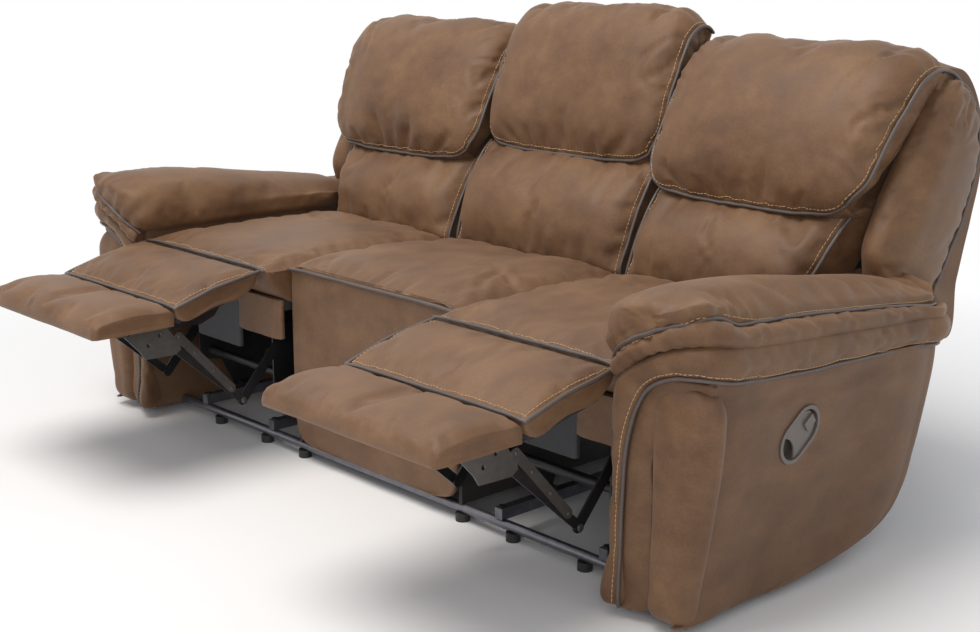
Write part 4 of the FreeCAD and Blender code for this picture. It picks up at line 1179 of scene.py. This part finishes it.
# Creases: the piece, depth, width and the line in millimetres
for soft, depth, width, line in (
        (pillow, 0.005, 0.008, ((905, 486, 948), (872, 462, 925), (838, 425, 872), (824, 398, 810))),
        (pillow, 0.004, 0.008, ((895, 520, 985), (850, 490, 975), (800, 450, 935), (770, 420, 885))),
        (pillow, 0.004, 0.006, ((335, 500, 970), (360, 480, 965), (392, 450, 945))),
        (pillow, 0.004, 0.006, ((325, 470, 930), (352, 452, 915), (380, 428, 895))),
        (pillow, 0.003, 0.006, ((330, 520, 995), (365, 505, 1000), (405, 480, 990))),
        (mid_pillow, 0.005, 0.008, ((280, 510, 1005), (245, 488, 990), (212, 455, 945), (200, 430, 890))),
        (mid_pillow, 0.004, 0.008, ((270, 540, 1040), (225, 515, 1045), (180, 480, 1015))),
        (seat, 0.006, 0.012, ((760, 180, 490), (700, 120, 497), (640, 105, 500), (600, 120, 500))),
        (seat, 0.006, 0.012, ((360, 190, 490), (430, 130, 497), (500, 110, 500))),
        (mid_seat, 0.006, 0.011, ((270, -160, 490), (215, -90, 500), (190, -20, 500), (120, 20, 500))),
        (mid_seat, 0.005, 0.009, ((285, -60, 490), (235, -40, 500), (200, -20, 500)))):
    soft.groove(points_mm(*line), depth, width)
for chain, depth in ((foot_pad.column_chain(5, 2, 8), 0.0032), (foot_pad.row_chain(8, 4, 6), 0.0030),
                     (foot_pad.row_chain(2, 4, 6), 0.0030)):
    foot_pad.seam(chain, depth, 0.005)

cover, mid_cover = recliner_back_cover(), centre_back_cover()
post, strip, panel, front = arm_pillar(), arm_strip(), outer_panel(), centre_front()
cover.lumps(31, 0.002)
mid_cover.lumps(32, 0.002)
post.lumps(33, 0.0015)
panel.lumps(34, 0.0016, (0.3, 0.12, 0.05), (1.0, 0.6, 0.3))
panel.groove(points_mm((1042, -290, 444), (1044, -150, 432), (1043, 0, 423), (1043, 150, 418),
                       (1041, 350, 411)), 0.0045, 0.012)
press_cup_seat(panel)
front.lumps(35, 0.002)


# Covers with their piping and stitching

def welt_join():
    """Piping over the top, from the pillow's outer seam to the wing's rear seam."""
    start = pillow.chain_points(pillow.row_chain(9, 0, 7))[-6]
    end = side_wing.chain_points(side_wing.column_chain(0, 10, 8))[4]
    over = (start + end) / 2 + np.array([0.002, 0.0, 0.010])
    line = smooth_path([start + np.array([0, 0, 0.003]), over, end + np.array([0.003, 0, 0.002])], 0.006)
    return line, np.tile(np.array([0.3, 0.0, 1.0]), (len(line), 1))


PAD_FILL = 0.6
PILLOW_FILL = 0.8


def build_cover(soft, name, node, body, slot, trims=(), fill=PAD_FILL, side=1, suffix="", tubes=()):
    """Makes one cover with its piping and stitches, and says what it rides on and replaces."""
    builder = Builder()
    builder.add_soft(soft)
    for chain, stitch, *options in trims:
        trim(builder, soft, chain, stitch, **(options[0] if options else {}))
    for line, facing in tubes:
        builder.add(*tube(line, facing, PIPING_RADIUS), 1)
    obj = builder.finish(name + suffix, COVER_LOOKS[slot], side)
    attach(obj, body if body == "base" else body + suffix)
    if node:
        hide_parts(node + suffix)
    return obj


def pillow_trims(soft):
    return (soft.row_chain(9, 0, 7), 1), (soft.row_chain(3, 0, 7), -1), (soft.column_chain(0, 3, 9), 1)


def lumbar_trims(soft):
    return (soft.row_chain(8, 0, 4), 1), (soft.row_chain(2, 0, 4), -1)


FRONT_STRIPS = ((0.306, 0.486), (0.486, 0.676), (0.676, 0.829))
for side, suffix in SIDES:
    both = {"side": side, "suffix": suffix}
    build_cover(pillow, "head_pillow_cover", "head_pillow", "back", "suede", pillow_trims(pillow),
                PILLOW_FILL, **both)
    build_cover(lumbar, "lumbar_cover", "lumbar_cushion", "back", "suede", lumbar_trims(lumbar),
                PILLOW_FILL, **both)
    build_cover(side_wing, "wing_cover", "back_wing", "back", "suede",
                ((side_wing.column_chain(0, 2, 10), 0),), tubes=(welt_join(),), **both)
    build_cover(cover, "rear_cover", "back_cover", "back", "suede_panel", **both)
    build_cover(seat, "seat_cover", "seat_cushion", "seat", "suede",
                ((seat.column_chain(0, 2, 8), 1),), **both)
    build_cover(chaise_pad, "chaise_cover", "chaise_pad", "chaise", "suede",
                ((chaise_pad.column_chain(4, 2, 8), 1), (chaise_pad.row_chain(8, 0, 4), -1),
                 (chaise_pad.row_chain(2, 0, 4), 1)), **both)
    build_cover(foot_pad, "footrest_cover", "footrest_pad", "footrest", "suede", **both)
    build_cover(arm_pad, "arm_pad_cover", "arm_top_pad", "base", "suede",
                ((arm_pad.column_chain(0, 6, 12), 1, {"piping": False}),), **both)
    build_cover(band_high, "arm_upper_band", "arm_side_roll", "base", "suede",
                ((band_high.column_chain(0, 2, -3), 0, {"on": arm_pad}),
                 (band_high.column_chain(0, 2, 8), -1, {"on": arm_pad, "piping": False})), **both)
    build_cover(band_low, "arm_lower_band", None, "base", "suede",
                ((band_low.column_chain(4, 2, -3), 1),), **both)
    build_cover(post, "arm_post", None, "base", "suede", **both)
    build_cover(strip, "arm_strip", None, "base", "suede_panel", **both)
    side_panel = build_cover(panel, "arm_side_panel", "arm_outer_panel", "base", "suede_panel", **both)
    cut_cup_hole(side_panel, side)
    for index, (low_x, high_x) in enumerate(FRONT_STRIPS):
        name = "seat_front_strip_" + str(index + 1)
        node, slot = ("seat_front_panel", "lining") if index == 1 else (None, "suede_panel")
        build_cover(seat_front(low_x, high_x, index), name, node, "seat", slot, **both)
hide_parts("arm_front_pillars")
build_cover(mid_pillow, "centre_pillow_cover", "centre_head_pillow", "base", "suede",
            pillow_trims(mid_pillow), PILLOW_FILL)
build_cover(mid_lumbar, "centre_lumbar_cover", "centre_lumbar_cushion", "base", "suede",
            lumbar_trims(mid_lumbar), PILLOW_FILL)
build_cover(mid_seat, "centre_seat_cover", "centre_seat_cushion", "base", "suede",
            ((mid_seat.column_chain(0, 2, 8), 1),))
build_cover(mid_cover, "centre_rear_cover", "centre_back_cover", "base", "suede_panel")
build_cover(front, "centre_front_cover", "centre_front_panel", "base", "suede_panel")


# Steel linkage: rivet heads and cover plates on the folding bars

ELBOW_PIN = (-0.333, 0.145)
FOOTREST_PIN = (-0.551, 0.385)
PLATE_HALF_WIDTH = 0.0105
PLATE_REACH = (0.16, 0.80)


def rounded_bar(builder, start, end, half_width, x, thickness, count=10):
    """Flat bar with round ends between two places in a plane of constant x."""
    a, b = np.array(start), np.array(end)
    along = (b - a) / np.linalg.norm(b - a)
    across = np.array([-along[1], along[0]])
    outline = []
    for centre, sign in ((b, 1), (a, -1)):
        for index in range(count + 1):
            turn = -math.pi / 2 + math.pi * index / count
            outline.append(centre + sign * half_width * (along * math.cos(turn) + across * math.sin(turn)))
    size = len(outline)
    points = [(x, y, z) for y, z in outline] + [(x + thickness, y, z) for y, z in outline]
    faces = [tuple(range(size))[::-1], tuple(range(size, 2 * size))]
    faces += [(index, (index + 1) % size, (index + 1) % size + size, index + size) for index in range(size)]
    if thickness < 0:
        faces = [face[::-1] for face in faces]
    builder.add(points, faces, 0)


def rivet(builder, spot, x, radius, height, sides=16):
    """Low domed rivet head that faces along x."""
    rings = ((0.0, radius), (height * 0.55, radius * 0.9), (height, radius * 0.5))
    points = []
    for lift, size in rings:
        for index in range(sides):
            turn = 2 * math.pi * index / sides
            points.append((x + lift, spot[0] + size * math.cos(turn), spot[1] + size * math.sin(turn)))
    faces = [tuple(range(sides))[::-1], tuple(range(2 * sides, 3 * sides))]
    faces += grid_faces(len(rings), sides, False)
    if height < 0:
        faces = [face[::-1] for face in faces]
    builder.add(points, faces, 0)


def linkage_trim(side, suffix):
    """Cover plates with rivet heads on both faces of a scissor link's bars."""
    low_corner, high_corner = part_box("scissor_link" + suffix)
    inner, outer = sorted((abs(low_corner[0]), abs(high_corner[0])))
    plate = Builder()
    low, high = (tuple(e + (c - e) * share for e, c in zip(ELBOW_PIN, FOOTREST_PIN))
                 for share in PLATE_REACH)
    for x, out in ((outer, 1), (inner, -1)):
        rounded_bar(plate, low, high, PLATE_HALF_WIDTH, x - out * 0.0006, out * 0.0030)
        for at in (0.0, 0.35, 0.7, 1.0):
            spot = tuple(a + (b - a) * at for a, b in zip(low, high))
            rivet(plate, spot, x + out * 0.0022, 0.0048, out * 0.0022)
        rivet(plate, ELBOW_PIN, x - out * 0.0006, 0.0085, out * 0.0036)
    obj = plate.finish("link_cover_plate" + suffix, (BRACKET_STEEL,), side, 40)
    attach(obj, "link" + suffix)


for side, suffix in SIDES:
    linkage_trim(side, suffix)


# Floor, light and camera

def soft_light(name, place_at, aim, size, power, colour):
    data = bpy.data.lights.new(name, "AREA")
    data.color = colour
    data.shape = "DISK"
    data.size = size
    data.energy = power
    lamp = add_object(name, data)
    lamp.location = place_at
    lamp.rotation_euler = (Vector(aim) - Vector(place_at)).to_track_quat("-Z", "Y").to_euler()


def white_for_camera(tree, shader_output, white_socket):
    """Mixes a plain white in for what the camera, mirrors and glass see."""
    path = tree.nodes.new("ShaderNodeLightPath")
    seen = maths(tree, "MAXIMUM", path.outputs["Is Camera Ray"], path.outputs["Is Glossy Ray"])
    seen = maths(tree, "MAXIMUM", seen, path.outputs["Is Transmission Ray"])
    return node_of(tree, "MixShader", {0: seen, 1: shader_output, 2: white_socket}).outputs[0]


def studio():
    world = bpy.data.worlds.new("studio")
    bpy.context.scene.world = world
    world.use_nodes = True
    tree = world.node_tree
    tree.nodes.clear()
    light = node_of(tree, "Background", {"Color": (0.93, 0.95, 1.0, 1.0), "Strength": 0.48})
    white = node_of(tree, "Background", {"Color": (1.0, 1.0, 1.0, 1.0), "Strength": 1.0})
    mixed = white_for_camera(tree, light.outputs[0], white.outputs[0])
    node_of(tree, "OutputWorld", {0: mixed})
    soft_light("key", place_at=(-0.3, -1.6, 4.2), aim=(0.0, 0.1, 0.4), size=3.0, power=142.0,
               colour=(1.0, 0.955, 0.90))
    soft_light("fill", place_at=(3.6, -3.4, 2.0), aim=(0.3, 0.0, 0.5), size=2.2, power=36.0,
               colour=(1.0, 0.98, 0.97))


FLOOR_HALF = 9.0
SHADOW_WHOLE = 1.1
SHADOW_GONE = 2.6


def floor():
    """Floor that shows the shadow near the sofa and is plain white further away."""
    corners = [(x * FLOOR_HALF, y * FLOOR_HALF, 0) for x, y in ((-1, -1), (1, -1), (1, 1), (-1, 1))]
    mesh = new_mesh("floor", corners, [(0, 1, 2, 3)])
    obj = add_object("floor", mesh)
    material, tree, shader, output = shader_nodes("floor")
    feed(tree, shader, {"Base Color": (0.93, 0.93, 0.93, 1.0), "Roughness": 0.9})
    distance = node_of(tree, "VectorMath", {0: object_place(tree)})
    distance.operation = "LENGTH"
    fade = node_of(tree, "MapRange", {"From Min": SHADOW_WHOLE, "From Max": SHADOW_GONE,
                                      "Value": distance.outputs["Value"]})
    white = node_of(tree, "Emission", {"Strength": 1.0})
    mix = node_of(tree, "MixShader", {0: fade.outputs[0], 1: shader.outputs[0], 2: white.outputs[0]})
    feed(tree, output, {0: mix.outputs[0]})
    mesh.materials.append(material)


CAMERA_PLACE = (2.6297, -2.3245, 1.2411)
CAMERA_DOWN = 13.93
CAMERA_TURN = 47.02
LENS = 56.0


def camera():
    """The photo's camera, as fitted to the sofa's parallel edges."""
    data = bpy.data.cameras.new("camera")
    data.lens = LENS
    data.sensor_width = 36.0
    data.dof.use_dof = False
    obj = add_object("camera", data)
    obj.location = CAMERA_PLACE
    obj.rotation_euler = (math.radians(90.0 - CAMERA_DOWN), 0.0, math.radians(CAMERA_TURN))
    bpy.context.scene.camera = obj


studio()
floor()
camera()
bpy.context.scene.view_settings.view_transform = "Standard"
